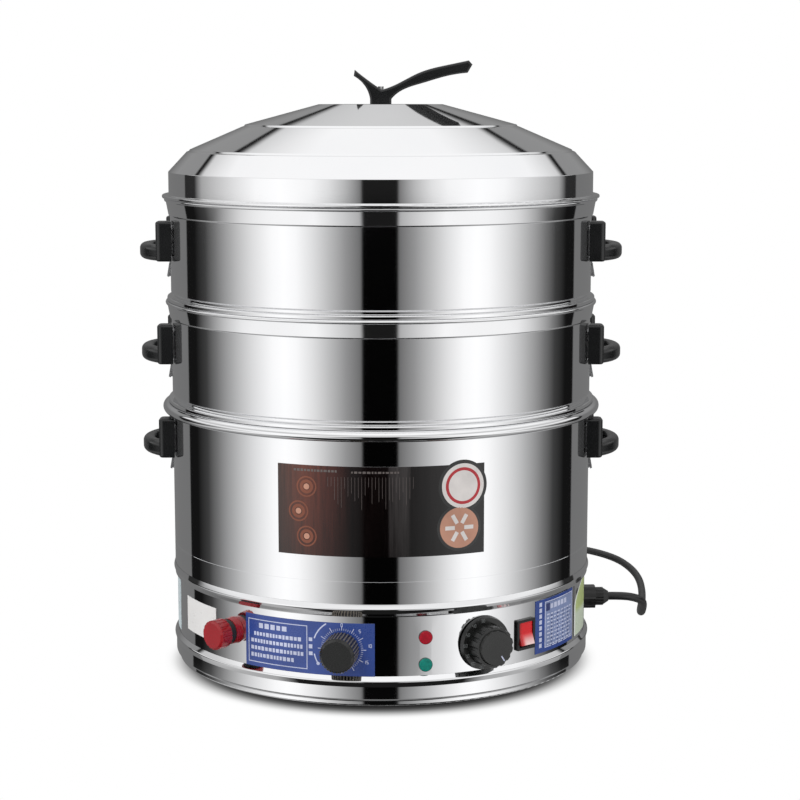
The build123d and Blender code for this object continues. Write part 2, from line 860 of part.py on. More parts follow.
# Pilot lamps: a domed lens outside the band and a clamping ring inside
ring_back = band_inner - lamp_ring_thickness - loose_gap
for name, height in (("red_lamp_lens", red_lamp_height), ("green_lamp_lens", green_lamp_height)):
    with BuildPart() as lens:
        with BuildSketch(facing_out(lamp_azimuth, band_radius, height)):
            Circle(lamp_radius)
        extrude(amount=lamp_proud)
        fillet(lens.edges().filter_by(GeomType.CIRCLE).sort_by(Axis.Y)[0], lamp_rounding)
        with BuildSketch(facing_out(lamp_azimuth, band_radius - lamp_depth, height)):
            Circle(lamp_radius - lamp_step - bore_gap)
        extrude(amount=lamp_depth)
    save(lens, name)
with BuildPart() as lamp_rings:
    for height in (red_lamp_height, green_lamp_height):
        with BuildSketch(facing_out(lamp_azimuth, ring_back, height)):
            Circle(lamp_radius - lamp_step + lamp_ring_width)
            Circle(lamp_radius - lamp_step, mode=Mode.SUBTRACT)
        extrude(amount=lamp_ring_thickness)
save(lamp_rings, "lamp_rings")

# Rocker switch: a bezel and body with a rocker that tips about a pin inside it
rocker_half = rocker_height / 2
crest = rocker_valley + rocker_half * tan(radians(rocker_tilt))
cavity_height = 2 * sqrt(crest**2 + rocker_half**2) - 2 * rocker_clearance
with BuildPart() as switch_housing:
    with BuildSketch(facing_out(switch_azimuth, band_radius, switch_height)):
        RectangleRounded(bezel_width, bezel_height, bezel_corner)
    extrude(amount=bezel_thickness)
    with BuildSketch(facing_out(switch_azimuth, band_radius - switch_depth, switch_height)):
        Rectangle(switch_cut_width - 2 * bore_gap, switch_cut_height - 2 * bore_gap)
    extrude(amount=switch_depth)
    with BuildSketch(facing_out(switch_azimuth, band_radius - rocker_well_depth, switch_height)):
        Rectangle(rocker_width + 2 * loose_gap, cavity_height)
    extrude(amount=rocker_well_depth + bezel_thickness, mode=Mode.SUBTRACT)
save(switch_housing, "switch_housing")

with BuildPart() as switch_rocker:
    with BuildSketch(side_on(switch_azimuth, band_radius - rocker_pin_depth, switch_height, rocker_tilt)):
        with BuildLine():
            face_line = Polyline((crest, -rocker_half), (rocker_valley, 0), (crest, rocker_half))
            back_half = rocker_half - rocker_clearance
            back_line = Line(face_line @ 1, (0, back_half))
            back_arc = ThreePointArc(back_line @ 1, (-rocker_belly, 0), (0, -back_half))
            Line(back_arc @ 1, face_line @ 0)
        make_face()
    extrude(amount=rocker_width / 2, both=True)
save(switch_rocker, "switch_rocker")

# Drain: an elbow from the pot's floor to a threaded outlet, with a collar, a washer and a cap
seal_back = band_radius + drain_flange_thickness + loose_gap
cap_back = seal_back + drain_seal_thickness + running_gap
outlet_end = cap_back + drain_cap_length - drain_cap_floor - 1
with BuildPart() as drain_pipe:
    with BuildLine() as drain_path:
        FilletPolyline(
            around(drain_azimuth, drain_outlet_radius, pot_floor_height + pot_floor_gauge + 1),
            around(drain_azimuth, drain_outlet_radius, drain_height),
            around(drain_azimuth, outlet_end, drain_height),
            radius=drain_pipe_bend,
        )
    with BuildSketch(Plane(origin=drain_path.line @ 0, z_dir=drain_path.line % 0)):
        Circle(drain_pipe_radius)
        Circle(drain_pipe_radius - drain_pipe_wall, mode=Mode.SUBTRACT)
    sweep(path=drain_path.line)
save(drain_pipe, "drain_pipe")

with BuildPart() as drain_collar:
    with BuildSketch(facing_out(drain_azimuth, band_radius, drain_height)):
        Circle(drain_flange_radius)
        Circle(drain_pipe_radius + bore_gap, mode=Mode.SUBTRACT)
    extrude(amount=drain_flange_thickness, taper=drain_flange_slope)
save(drain_collar, "drain_collar")

with BuildPart() as drain_washer:
    with BuildSketch(facing_out(drain_azimuth, seal_back, drain_height)):
        Circle(drain_flange_radius - drain_washer_setback)
        Circle(drain_pipe_radius + loose_gap, mode=Mode.SUBTRACT)
    extrude(amount=drain_seal_thickness)
save(drain_washer, "drain_washer")

with BuildPart() as drain_cap:
    with BuildSketch(facing_out(drain_azimuth, cap_back, drain_height)):
        Circle(drain_cap_radius)
        with PolarLocations(drain_cap_radius + drain_flute_offset, drain_flute_count):
            Circle(drain_flute_radius, mode=Mode.SUBTRACT)
    extrude(amount=drain_cap_length - drain_cap_chamfer)
    cap_shoulder = cap_back + drain_cap_length - drain_cap_chamfer
    with BuildSketch(facing_out(drain_azimuth, cap_shoulder, drain_height)):
        Circle(drain_cap_radius + drain_flute_offset - drain_flute_radius)
    extrude(amount=drain_cap_chamfer, taper=drain_cap_slope)
    with BuildSketch(facing_out(drain_azimuth, cap_back, drain_height)):
        Circle(drain_pipe_radius + loose_gap)
    extrude(amount=drain_cap_length - drain_cap_floor, mode=Mode.SUBTRACT)
save(drain_cap, "drain_cap")

# Heater: one tube that runs round, turns back outside itself and goes down through the floor
inner_start = around(element_start, element_inner_loop, element_height)
inner_end = around(-element_start, element_inner_loop, element_height)
outer_end = around(element_start, element_outer_loop, element_height)
outer_start = around(-element_start, element_outer_loop, element_height)
turn_middle = around(-element_start, (element_inner_loop + element_outer_loop) / 2, element_height)
turn_middle += around(-element_start - 90, element_loop_gap / 2)
leg_length = element_height - element_leg_turn - pot_floor_height + element_tail
with BuildPart() as heating_element:
    with BuildLine() as element_path:
        first_leg = leg_points[0] + Vector(0, 0, -element_tail)
        first_bend = first_leg + Vector(0, 0, leg_length)
        last_leg = leg_points[1] + Vector(0, 0, -element_tail)
        last_bend = last_leg + Vector(0, 0, leg_length)
        Line(first_leg, first_bend)
        TangentArc(first_bend, inner_start, tangent=(0, 0, 1))
        ThreePointArc(inner_start, around(0, element_inner_loop, element_height), inner_end)
        ThreePointArc(inner_end, turn_middle, outer_start)
        ThreePointArc(outer_start, around(0, element_outer_loop, element_height), outer_end)
        TangentArc(outer_end, last_bend, tangent=around(element_start + 90, 1))
        Line(last_bend, last_leg)
    with BuildSketch(Plane(origin=first_leg, z_dir=(0, 0, 1))):
        Circle(element_radius)
    sweep(path=element_path.line)
save(heating_element, "heating_element")

with BuildPart() as element_nuts:
    for leg in leg_points:
        with BuildSketch(Plane(origin=leg + Vector(0, 0, -element_nut_height))):
            RegularPolygon(element_nut_radius, 6)
            Circle(element_radius + running_gap, mode=Mode.SUBTRACT)
        extrude(amount=element_nut_height)
        with BuildSketch(Plane(origin=leg + Vector(0, 0, pot_floor_gauge))):
            Circle(element_nut_radius - 2)
            Circle(element_radius + running_gap, mode=Mode.SUBTRACT)
        extrude(amount=element_nut_height / 2)
save(element_nuts, "element_nuts")

# Inside the base: cut-out, terminal block, earth stud, wires, and the thermostat's bulb
plate_top = plate_low + bottom_plate_gauge
with BuildPart() as dry_burn_cutout:
    with BuildSketch(Plane.XY.offset(pot_floor_height - cutout_plate_gauge)):
        RectangleRounded(cutout_plate_length, cutout_plate_width, cutout_plate_width / 3)
    extrude(amount=cutout_plate_gauge)
    with BuildSketch(Plane.XY.offset(pot_floor_height - cutout_plate_gauge - cutout_height)):
        Circle(cutout_radius)
    extrude(amount=cutout_height)
save(dry_burn_cutout, "dry_burn_cutout")

block_place = around(block_azimuth, body_radius - block_setback, plate_top)
with BuildPart() as terminal_block:
    with BuildSketch(Plane(origin=block_place)):
        RectangleRounded(block_length, block_width, bend)
        with GridLocations(block_pole_pitch, 1, 3, 1):
            Circle(block_pole_radius, mode=Mode.SUBTRACT)
    extrude(amount=block_height)
save(terminal_block, "terminal_block")

stud_place = around(stud_azimuth, body_radius - stud_setback, plate_top)
with BuildPart() as earth_stud:
    with BuildSketch(Plane(origin=stud_place)):
        Circle(stud_radius)
    extrude(amount=stud_length)
    with BuildSketch(Plane(origin=stud_place)):
        RegularPolygon(stud_nut_radius, 6)
    extrude(amount=stud_nut_height)
save(earth_stud, "earth_stud")


def wire(points, radius=wire_radius, turn=wire_turn):
    """One insulated wire along a bent path."""
    with BuildPart() as tube:
        with BuildLine() as path:
            FilletPolyline(*points, radius=turn)
        with BuildSketch(Plane(origin=path.line @ 0, z_dir=path.line % 0)):
            Circle(radius)
        sweep(path=path.line)
    return tube


block_top = plate_top + block_height
block_end = block_place + Vector(block_pole_pitch, 0, block_height)
block_middle = block_place + Vector(0, 0, block_height)
block_start = block_place + Vector(-block_pole_pitch, 0, block_height)
with BuildPart() as inner_wiring:
    supply_start = around(gland_azimuth, band_inner - gland_inner_length, gland_height)
    add(
        wire(
            [
                supply_start,
                supply_start + around(gland_azimuth - 180, supply_reach),
                Vector(block_end.X, block_end.Y, gland_height),
                block_end,
            ]
        ).part
    )
    add(
        wire(
            [
                block_middle,
                block_middle + Vector(0, 0, wire_arch),
                Vector(first_leg.X, first_leg.Y, block_top + wire_arch),
                first_leg,
            ]
        ).part
    )
    add(
        wire(
            [
                around(switch_azimuth, band_radius - switch_depth, switch_height),
                around(switch_azimuth, band_radius - switch_depth - switch_reach, switch_height),
                Vector(block_start.X, block_start.Y, switch_height + switch_wire_rise),
                block_start,
            ]
        ).part
    )
save(inner_wiring, "inner_wiring")

bulb_height = pot_floor_height - bulb_radius - running_gap
with BuildPart() as thermostat_bulb:
    with BuildSketch(Plane.YZ.offset(bulb_near_end)):
        with Locations((-bulb_setback, bulb_height)):
            Circle(bulb_radius)
    extrude(amount=bulb_length)
    bulb_end = Vector(bulb_near_end + bulb_length, -bulb_setback, bulb_height)
    body_back = around(thermostat_azimuth, band_inner - thermostat_body_depth, thermostat_height)
    add(
        wire(
            [
                body_back,
                body_back + around(thermostat_azimuth - 180, capillary_reach),
                Vector(bulb_end.X + capillary_reach, bulb_end.Y, bulb_height),
                bulb_end,
            ],
            capillary_radius,
            capillary_turn,
        ).part
    )
save(thermostat_bulb, "thermostat_bulb")

# Cable gland, with its locknut inside the band, and the dome nut that grips the cord
with BuildPart() as cable_gland:
    with BuildSketch(facing_out(gland_azimuth, band_radius, gland_height)):
        RegularPolygon(gland_body_radius, 6, major_radius=True)
        Circle(gland_body_radius * gland_flat_blend)
    extrude(amount=gland_body_length)
    with BuildSketch(facing_out(gland_azimuth, band_inner - gland_inner_length, gland_height)):
        Circle(gland_thread_radius)
    extrude(amount=gland_inner_length + sheet)
    locknut_back = band_inner - loose_gap - locknut_thickness
    with BuildSketch(facing_out(gland_azimuth, locknut_back, gland_height)):
        RegularPolygon(gland_body_radius - sheet, 6)
        Circle(gland_thread_radius + running_gap, mode=Mode.SUBTRACT)
    extrude(amount=locknut_thickness)
save(cable_gland, "cable_gland")

with BuildPart() as gland_nut:
    nut_plane = facing_out(gland_azimuth, band_radius + gland_body_length, gland_height)
    with BuildSketch(nut_plane):
        Circle(gland_nut_radius)
        with PolarLocations(gland_nut_radius + gland_notch_offset, gland_notch_count):
            Circle(gland_notch_radius, mode=Mode.SUBTRACT)
    extrude(amount=gland_nut_length * gland_grip_share)
    with BuildSketch(nut_plane.offset(gland_nut_length * gland_grip_share)):
        Circle(gland_nut_radius + gland_notch_offset - gland_notch_radius)
    with BuildSketch(nut_plane.offset(gland_nut_length)):
        Circle(cord_radius + gland_mouth_wall)
    loft()
save(gland_nut, "gland_nut")

# Mains cord: droops from the gland, runs back along the floor and ends in a neat coil.
# Its points are given as distance out from the wall, distance back and height.
coil_start = Vector(coil_centre[0] + 2 * cord_radius, coil_centre[1] + coil_outer_radius, cord_radius)
cord_exit = around(gland_azimuth, band_radius + gland_body_length + gland_nut_length, gland_height)
cord_drop = (
    (59.5, 23.5, 49.0),
    (68.5, 40.0, 41.0),
    (72.0, 66.0, 28.0),
    (74.5, 99.0, 13.0),
)
cord_run = (
    (77.5, 136.0),
    (85.0, 181.0),
    (92.0, 238.0),
    (95.5, 300.0),
    (91.0, 358.0),
    (78.0, 410.0),
    (51.0, 452.0),
    (11.0, 482.0),
    (-37.0, 499.0),
    (-89.0, 502.6),
)
cord_route = [tuple(cord_exit), tuple(cord_exit + around(gland_azimuth, cord_lead))]
cord_route += [(body_radius + out, back, height) for out, back, height in cord_drop]
cord_route += [(body_radius + out, back, cord_radius) for out, back in cord_run]
cord_route.append(tuple(coil_start))


def corner_radii(points):
    """Arc radius at each corner: a share of the shorter run over the tangent of half the turn."""
    radii = []
    for before, corner, after in zip(points, points[1:], points[2:]):
        arriving = Vector(corner) - Vector(before)
        leaving = Vector(after) - Vector(corner)
        half_angle = radians(arriving.get_angle(leaving)) / 2
        radii.append(bend_share * min(arriving.length, leaving.length) / tan(half_angle))
    return radii


cord_radii = corner_radii(cord_route)
with BuildPart() as power_cord:
    with BuildLine() as cord_path:
        FilletPolyline(*cord_route, radius=cord_radii)
    with BuildSketch(Plane(origin=cord_path.line @ 0, z_dir=cord_path.line % 0)):
        Circle(cord_radius)
    sweep(path=cord_path.line)
save(power_cord, "power_cord")
print("cord arc radii", [round(radius, 1) for radius in cord_radii])
print("cord tube length", round(cord_path.wires()[0].length, 1))

layer_half_turns = 2 * coil_turns_per_layer
turn_radii = [coil_outer_radius - index * coil_spacing / 2 for index in range(layer_half_turns)]
turn_radii.append(turn_radii[-1] - coil_spacing / 2 - coil_climb_inset)
turn_radii += turn_radii[::-1]
layer_heights = (cord_radius, cord_radius + coil_spacing)
turn_heights = [height for height in layer_heights for turn in range(layer_half_turns + 1)]
coil_points = [
    Vector(coil_centre[0], coil_centre[1] + (-1) ** index * radius, height)
    for index, (radius, height) in enumerate(zip(turn_radii, turn_heights))
]
tail_end = coil_points[-1] + Vector(coil_outer_radius + 3 * cord_radius, 0, 0)
with BuildPart() as power_cord_coil:
    with BuildLine() as coil_path:
        Line(coil_start, coil_points[0])
        for index, (start, end) in enumerate(zip(coil_points, coil_points[1:])):
            heading = Vector(-((-1) ** index), 0, 0)
            reach = (end - start).length / 2
            middle = (start + end) / 2 + heading * reach
            TangentArc(start, middle, tangent=heading)
            TangentArc(middle, end, tangent=end - start)
        Line(coil_points[-1], tail_end)
    with BuildSketch(Plane(origin=coil_start, z_dir=(-1, 0, 0))):
        Circle(cord_radius)
    sweep(path=coil_path.line)
save(power_cord_coil, "power_cord_coil")

coil_line = coil_path.wires()[0]
sample_step = 4.0
sample_count = int(coil_line.length / sample_step)
coil_samples = [coil_line.position_at(index / sample_count) for index in range(sample_count + 1)]
apart = int(2 * pi * min(turn_radii) * 0.4 / sample_step)
least_gap = min(
    (coil_samples[later] - coil_samples[first]).length
    for first in range(sample_count)
    for later in range(first + apart, sample_count + 1)
)
print("coil length", round(coil_line.length, 1), "least gap", round(least_gap - 2 * cord_radius, 2))

# Plug: a tapered relief, a moulded body and three flat pins
body_start = tail_end + Vector(plug_relief_length, 0, 0)
with BuildPart() as plug_body:
    with BuildSketch(Plane(origin=tail_end, x_dir=(0, 1, 0), z_dir=(1, 0, 0))):
        Circle(cord_radius + relief_start_wall)
    with BuildSketch(Plane(origin=body_start, x_dir=(0, 1, 0), z_dir=(1, 0, 0))):
        Circle(cord_radius + relief_end_wall)
    loft()
    with BuildSketch(Plane(origin=body_start, x_dir=(0, 1, 0), z_dir=(1, 0, 0))):
        RectangleRounded(plug_width, 2 * tail_end.Z - bore_gap, plug_corner)
    extrude(amount=plug_length)
    fillet(plug_body.faces().filter_by(Axis.X).edges().filter_by(GeomType.LINE), plug_edge)
save(plug_body, "plug_body")

with BuildPart() as plug_pins:
    pin_start = body_start + Vector(plug_length, 0, 0)
    with BuildSketch(Plane(origin=pin_start, x_dir=(0, 1, 0), z_dir=(1, 0, 0))):
        with Locations((0, earth_pin_rise)):
            Rectangle(pin_gauge, pin_width)
        for side in (-1, 1):
            pin_place = (side * live_pin_spacing, -live_pin_drop, 0)
            with Locations(Location(pin_place, (0, 0, side * live_pin_angle))):
                Rectangle(pin_gauge, pin_width)
    extrude(amount=pin_length)
save(plug_pins, "plug_pins")


def wall_label(radius, from_azimuth, to_azimuth, centre, tall):
    """A thin label that follows the wall."""
    with BuildPart() as label:
        with BuildSketch(side_on(from_azimuth, 0, 0)):
            with Locations((radius + label_lift + label_gauge / 2, centre)):
                Rectangle(label_gauge, tall)
        revolve(axis=Axis.Z, revolution_arc=to_azimuth - from_azimuth)
    return label


front_centre = pot_floor_height + front_label_rise + front_label_height / 2
front_label = wall_label(body_radius, front_label_from, front_label_to, front_centre, front_label_height)
save(front_label, "front_label")
table_plate = wall_label(
    band_radius,
    table_plate_from,
    table_plate_to,
    label_centre_height,
    table_plate_height,
)
save(table_plate, "table_plate")

with BuildPart() as timer_panel:
    add(wall_label(band_radius, timer_panel_from, timer_panel_to, timer_height, timer_panel_height).part)
    with BuildSketch(facing_out(timer_azimuth, band_radius - hole_reach, timer_height)):
        Circle(shaft_radius + bush_wall + 2 * bore_gap)
    extrude(amount=2 * hole_reach, mode=Mode.SUBTRACT)
save(timer_panel, "timer_panel")

with BuildPart() as side_labels:
    for from_azimuth, to_azimuth, tall in (
        (outlet_label_from, outlet_label_to, outlet_label_height),
        (left_label_from, left_label_to, side_label_height),
        (right_label_from, right_label_to, side_label_height),
    ):
        add(wall_label(band_radius, from_azimuth, to_azimuth, label_centre_height, tall).part)
save(side_labels, "side_labels")
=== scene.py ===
"""Looks of a commercial electric steamer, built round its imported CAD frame.

Lengths are metres, except that labels, printing and dials are laid out in mm and in degrees of
azimuth, measured from the front towards +X. Angles of the sky are degrees.
"""
import json
import math
import random

import bmesh
import bpy
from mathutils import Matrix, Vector


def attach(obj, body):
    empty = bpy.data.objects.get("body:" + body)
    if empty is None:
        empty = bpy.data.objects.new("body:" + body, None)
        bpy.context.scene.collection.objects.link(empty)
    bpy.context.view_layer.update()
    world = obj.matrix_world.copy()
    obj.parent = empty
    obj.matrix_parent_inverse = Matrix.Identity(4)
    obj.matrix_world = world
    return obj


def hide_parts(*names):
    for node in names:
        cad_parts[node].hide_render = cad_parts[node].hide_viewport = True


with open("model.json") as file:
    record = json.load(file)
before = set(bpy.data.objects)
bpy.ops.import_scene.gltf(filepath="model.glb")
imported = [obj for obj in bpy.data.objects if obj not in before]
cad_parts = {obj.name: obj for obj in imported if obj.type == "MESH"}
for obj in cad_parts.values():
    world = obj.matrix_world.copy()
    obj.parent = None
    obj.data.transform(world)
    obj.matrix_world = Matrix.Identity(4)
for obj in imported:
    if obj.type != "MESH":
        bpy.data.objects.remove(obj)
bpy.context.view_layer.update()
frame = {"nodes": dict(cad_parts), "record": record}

MM = 0.001
BODY_RADIUS = 0.225
BAND_RADIUS = 0.2225
LABEL_TOP = 0.35 * MM


def around(azimuth, radius, height=0.0):
    """A point at an azimuth from the front, towards +X."""
    angle = math.radians(azimuth)
    return Vector((radius * math.sin(angle), -radius * math.cos(angle), height))


# Camera, fitted to the rings of the steamer
FOCAL_LENGTH = 90.0
SENSOR_WIDTH = 36.0
CAMERA_PLACE = (0.0204, -2.150, 0.601)
CAMERA_PITCH = 81.4
camera_data = bpy.data.cameras.new("camera")
camera_data.lens = FOCAL_LENGTH
camera_data.sensor_width = SENSOR_WIDTH
camera = bpy.data.objects.new("camera", camera_data)
camera.location = CAMERA_PLACE
camera.rotation_euler = (math.radians(CAMERA_PITCH), 0.0, 0.0)
bpy.context.scene.collection.objects.link(camera)
bpy.context.scene.camera = camera
bpy.context.scene.view_settings.view_transform = "Standard"


class Shader:
    """One node tree. An input is a number, a colour or another node's socket."""

    def __init__(self, owner):
        owner.use_nodes = True
        self.tree = owner.node_tree
        self.tree.nodes.clear()

    def add(self, kind, inputs=None, **settings):
        """Add a node and return it."""
        made = self.tree.nodes.new("ShaderNode" + kind)
        for name, value in settings.items():
            setattr(made, name, value)
        for name, value in (inputs or {}).items():
            if isinstance(value, bpy.types.NodeSocket):
                self.tree.links.new(value, made.inputs[name])
            else:
                made.inputs[name].default_value = value
        return made

    def math(self, operation, *values):
        """The result of one sum."""
        return self.add("Math", dict(enumerate(values)), operation=operation).outputs[0]

    def spread(self, value, low, high, to_low=0.0, to_high=1.0, smooth=False):
        """A value mapped from one range to another."""
        kind = "SMOOTHSTEP" if smooth else "LINEAR"
        inputs = {"Value": value, "From Min": low, "From Max": high, "To Min": to_low, "To Max": to_high}
        return self.add("MapRange", inputs, interpolation_type=kind).outputs[0]

    def ramp(self, factor, stops):
        """A colour ramp through stops of position and grey level or colour."""
        made = self.add("ValToRGB", {"Fac": factor})
        elements = made.color_ramp.elements
        while len(elements) < len(stops):
            elements.new(0.5)
        for element, (position, level) in zip(elements, stops):
            element.position = position
            element.color = (*(level if isinstance(level, tuple) else grey(level)), 1.0)
        return made.outputs["Color"]

    def mix(self, factor, first, second):
        """A blend of two colours."""
        made = self.add("Mix", data_type="RGBA")
        for socket, value in zip((made.inputs[0], made.inputs[6], made.inputs[7]), (factor, first, second)):
            if isinstance(value, bpy.types.NodeSocket):
                self.tree.links.new(value, socket)
            elif isinstance(value, tuple):
                socket.default_value = (*value, 1.0)
            else:
                socket.default_value = value
        return made.outputs[2]

    def noise(self, scale, stretch=(1.0, 1.0, 1.0), detail=3.0, roughness=0.5):
        """Noise over the object's own space, in cycles a metre."""
        place = self.add("TexCoord").outputs["Object"]
        mapped = self.add("Mapping", {"Vector": place, "Scale": stretch}).outputs[0]
        inputs = {"Vector": mapped, "Scale": scale, "Detail": detail, "Roughness": roughness}
        return self.add("TexNoise", inputs).outputs["Fac"]

    def bump(self, height, distance):
        """A bump normal."""
        return self.add("Bump", {"Height": height, "Distance": distance}).outputs[0]

    def object_axes(self):
        """The three coordinates of the object's own space, which turn with the object."""
        return self.add("SeparateXYZ", {"Vector": self.add("TexCoord").outputs["Object"]}).outputs

    def finish(self, shader, kind="Material"):
        """Join a shader to the output."""
        self.add("Output" + kind, {"Surface": shader})


def grey(level):
    """A neutral colour."""
    return (level, level, level)


def solid(name, colour, roughness, bump, **extra):
    """A plain-bodied material whose roughness and relief vary a little."""
    material = bpy.data.materials.new(name)
    s = Shader(material)
    drift = s.noise(35.0, detail=4.0)
    fleck = s.noise(900.0, detail=2.0)
    worn = s.math("ADD", drift, s.math("MULTIPLY", fleck, 0.4))
    scale, distance = bump
    inputs = {
        "Base Color": s.mix(s.spread(drift, 0.35, 0.65), colour, tuple(c * 0.82 for c in colour)),
        "Roughness": s.spread(worn, 0.45, 0.95, *roughness),
        "Normal": s.bump(s.noise(scale, detail=4.0), distance),
    }
    inputs.update(extra)
    s.finish(s.add("BsdfPrincipled", inputs).outputs[0])
    material.diffuse_color = (*colour, 1.0)
    return material


def ink(name, colour, roughness=(0.3, 0.45)):
    """A thin print."""
    return solid(name, colour, roughness, (500.0, 0.00002))


def lens(name, colour):
    """A coloured lens, with painted shade that darkens it where it turns away at its edge."""
    material = bpy.data.materials.new(name)
    s = Shader(material)
    facing = s.add("LayerWeight", {"Blend": 0.5}).outputs["Facing"]
    cloud = s.noise(260.0)
    centre = s.mix(s.spread(cloud, 0.35, 0.65), colour, tuple(c * 0.72 for c in colour))
    inputs = {
        # painted shade: the colour darkens strongly where the lens turns away from the view, at its edge
        "Base Color": s.mix(s.spread(facing, 0.3, 0.6), centre, tuple(c * 0.12 for c in colour)),
        "Roughness": s.spread(cloud, 0.3, 0.7, 0.08, 0.16),
        "Specular IOR Level": 0.25,
    }
    s.finish(s.add("BsdfPrincipled", inputs).outputs[0])
    return material


def steel(name, level, roughness, grain):
    """Stainless steel, with fine lines running round the axis and faint smudges."""
    material = bpy.data.materials.new(name)
    s = Shader(material)
    lines = s.noise(60.0, (1.0, 1.0, 60.0), 4.0, 0.7)
    smudge = s.noise(9.0, detail=5.0)
    worn = s.math("ADD", s.math("MULTIPLY", lines, 0.5), s.math("MULTIPLY", smudge, 0.5))
    clean = (level, level, level * 1.01)
    smudged = (level * 0.97, level * 0.975, level * 0.99)
    inputs = {
        "Base Color": s.mix(s.spread(smudge, 0.3, 0.7), clean, smudged),
        "Metallic": 1.0,
        "Roughness": s.spread(worn, 0.35, 0.65, *roughness),
        "Normal": s.bump(lines, grain),
    }
    s.finish(s.add("BsdfPrincipled", inputs).outputs[0])
    return material


# World: white behind the object, a studio of bright and dark panels in its reflections.
# Each ramp gives the panels' brightness by bearing, from 0 in front of the object to 1 behind it.
STRIPE = (
    (0.0, 0.001),
    (0.05, 0.001),
    (0.056, 0.18),
    (0.10, 0.34),
    (0.15, 0.60),
    (0.20, 0.89),
    (0.25, 1.14),
    (0.29, 1.21),
    (0.33, 1.14),
    (0.40, 0.85),
    (0.48, 0.48),
    (0.55, 0.20),
    (0.60, 0.055),
    (0.66, 0.008),
    (1.0, 0.005),
)
LID_STRIPE = (
    (0.0, 0.014),
    (0.05, 0.014),
    (0.056, 0.22),
    (0.10, 0.57),
    (0.15, 0.90),
    (0.20, 1.10),
    (0.30, 1.20),
    (0.38, 1.14),
    (0.50, 0.76),
    (0.61, 0.43),
    (0.65, 0.03),
    (1.0, 0.008),
)
FLOOR_STRIPE = (
    (0.0, 0.012),
    (0.05, 0.012),
    (0.06, 0.5),
    (0.20, 1.1),
    (0.45, 1.05),
    (0.62, 0.6),
    (0.70, 0.38),
    (1.0, 0.24),
)
UNDERSIDE = (
    (0.0, 0.012),
    (0.30, 0.012),
    (0.38, 0.45),
    (0.50, 0.50),
    (0.70, 0.25),
)
STEEP_UNDERSIDE = (
    (0.0, 0.012),
    (0.41, 0.012),
    (0.49, 0.45),
)
# Brightness overhead, over a range of elevation
OVERHEAD = ((0.0, 0.55), (0.3, 0.72), (0.6, 1.08), (1.0, 1.12))
OVERHEAD_RANGE = (20.0, 60.0)
# Elevations over which one row of panels passes into the next
STEEP_JOIN = (-70.0, -62.0)
UNDERSIDE_JOIN = (-37.0, -29.0)
FLOOR_JOIN = (-23.0, -16.0)
LID_JOIN = (-3.2, -2.9)
RIDGE_LIGHT_JOIN = (3.0, 9.0)
OVERHEAD_JOIN = (17.0, 20.0)
# A grey backdrop behind, with a dark fringe: its side edge, its two top edges and their bearings
BACKDROP_EDGE = 0.715
BACKDROP_TOPS = (28.5, 20.0)
BACKDROP_TOP_BEARINGS = (0.925, 0.955)
BACKDROP_GREYS = (0.19, 0.30)
BACKDROP_RISE = (6.0, 16.0)
FRINGE = (-4.5, -1.2)
FRINGE_GREY = 0.012
EDGE_BLUR = (-0.5, 0.5)
ROOM_STRENGTH = 0.8

world = bpy.data.worlds.new("studio")
bpy.context.scene.world = world
s = Shader(world)
axes = s.add("SeparateXYZ", {"Vector": s.add("TexCoord").outputs["Generated"]}).outputs
bearing = s.math("ABSOLUTE", s.math("ARCTAN2", axes[0], s.math("MULTIPLY", axes[1], -1.0)))
bearing = s.math("MULTIPLY", bearing, 1.0 / math.pi)
rise = s.math("MULTIPLY", s.math("ARCSINE", axes[2]), 180.0 / math.pi)
walls = s.mix(s.spread(rise, *LID_JOIN), s.ramp(bearing, STRIPE), s.ramp(bearing, LID_STRIPE))
walls = s.mix(s.spread(rise, *FLOOR_JOIN), s.ramp(bearing, FLOOR_STRIPE), walls)
below = s.mix(s.spread(rise, *STEEP_JOIN), s.ramp(bearing, STEEP_UNDERSIDE), s.ramp(bearing, UNDERSIDE))
walls = s.mix(s.spread(rise, *UNDERSIDE_JOIN), below, walls)
above = s.ramp(s.spread(rise, *OVERHEAD_RANGE), OVERHEAD)
above = s.mix(s.spread(rise, *OVERHEAD_JOIN), grey(1.0), above)
side = s.math("MULTIPLY", s.math("SUBTRACT", bearing, BACKDROP_EDGE), 180.0)
top = s.math("SUBTRACT", s.spread(bearing, *BACKDROP_TOP_BEARINGS, *BACKDROP_TOPS, smooth=True), rise)
inside = s.math("MINIMUM", side, top)
above = s.mix(s.spread(inside, *FRINGE, smooth=True), above, grey(FRINGE_GREY))
backdrop = s.mix(s.spread(rise, *BACKDROP_RISE), grey(BACKDROP_GREYS[0]), grey(BACKDROP_GREYS[1]))
studio = s.mix(s.spread(rise, *RIDGE_LIGHT_JOIN), walls, above)
studio = s.mix(s.spread(inside, *EDGE_BLUR), studio, backdrop)
light_path = s.add("LightPath").outputs
studio_light = s.add("Background", {"Color": studio, "Strength": 1.0}).outputs[0]
room_light = s.add("Background", {"Color": (*grey(1.0), 1.0), "Strength": ROOM_STRENGTH}).outputs[0]
white_light = s.add("Background", {"Color": (*grey(1.0), 1.0), "Strength": 1.0}).outputs[0]
seen = s.math("MAXIMUM", light_path["Is Camera Ray"], light_path["Is Transmission Ray"])
mixed = s.add("MixShader", {"Fac": light_path["Is Glossy Ray"], 1: room_light, 2: studio_light}).outputs[0]
mixed = s.add("MixShader", {"Fac": seen, 1: mixed, 2: white_light}).outputs[0]
s.finish(mixed, "World")
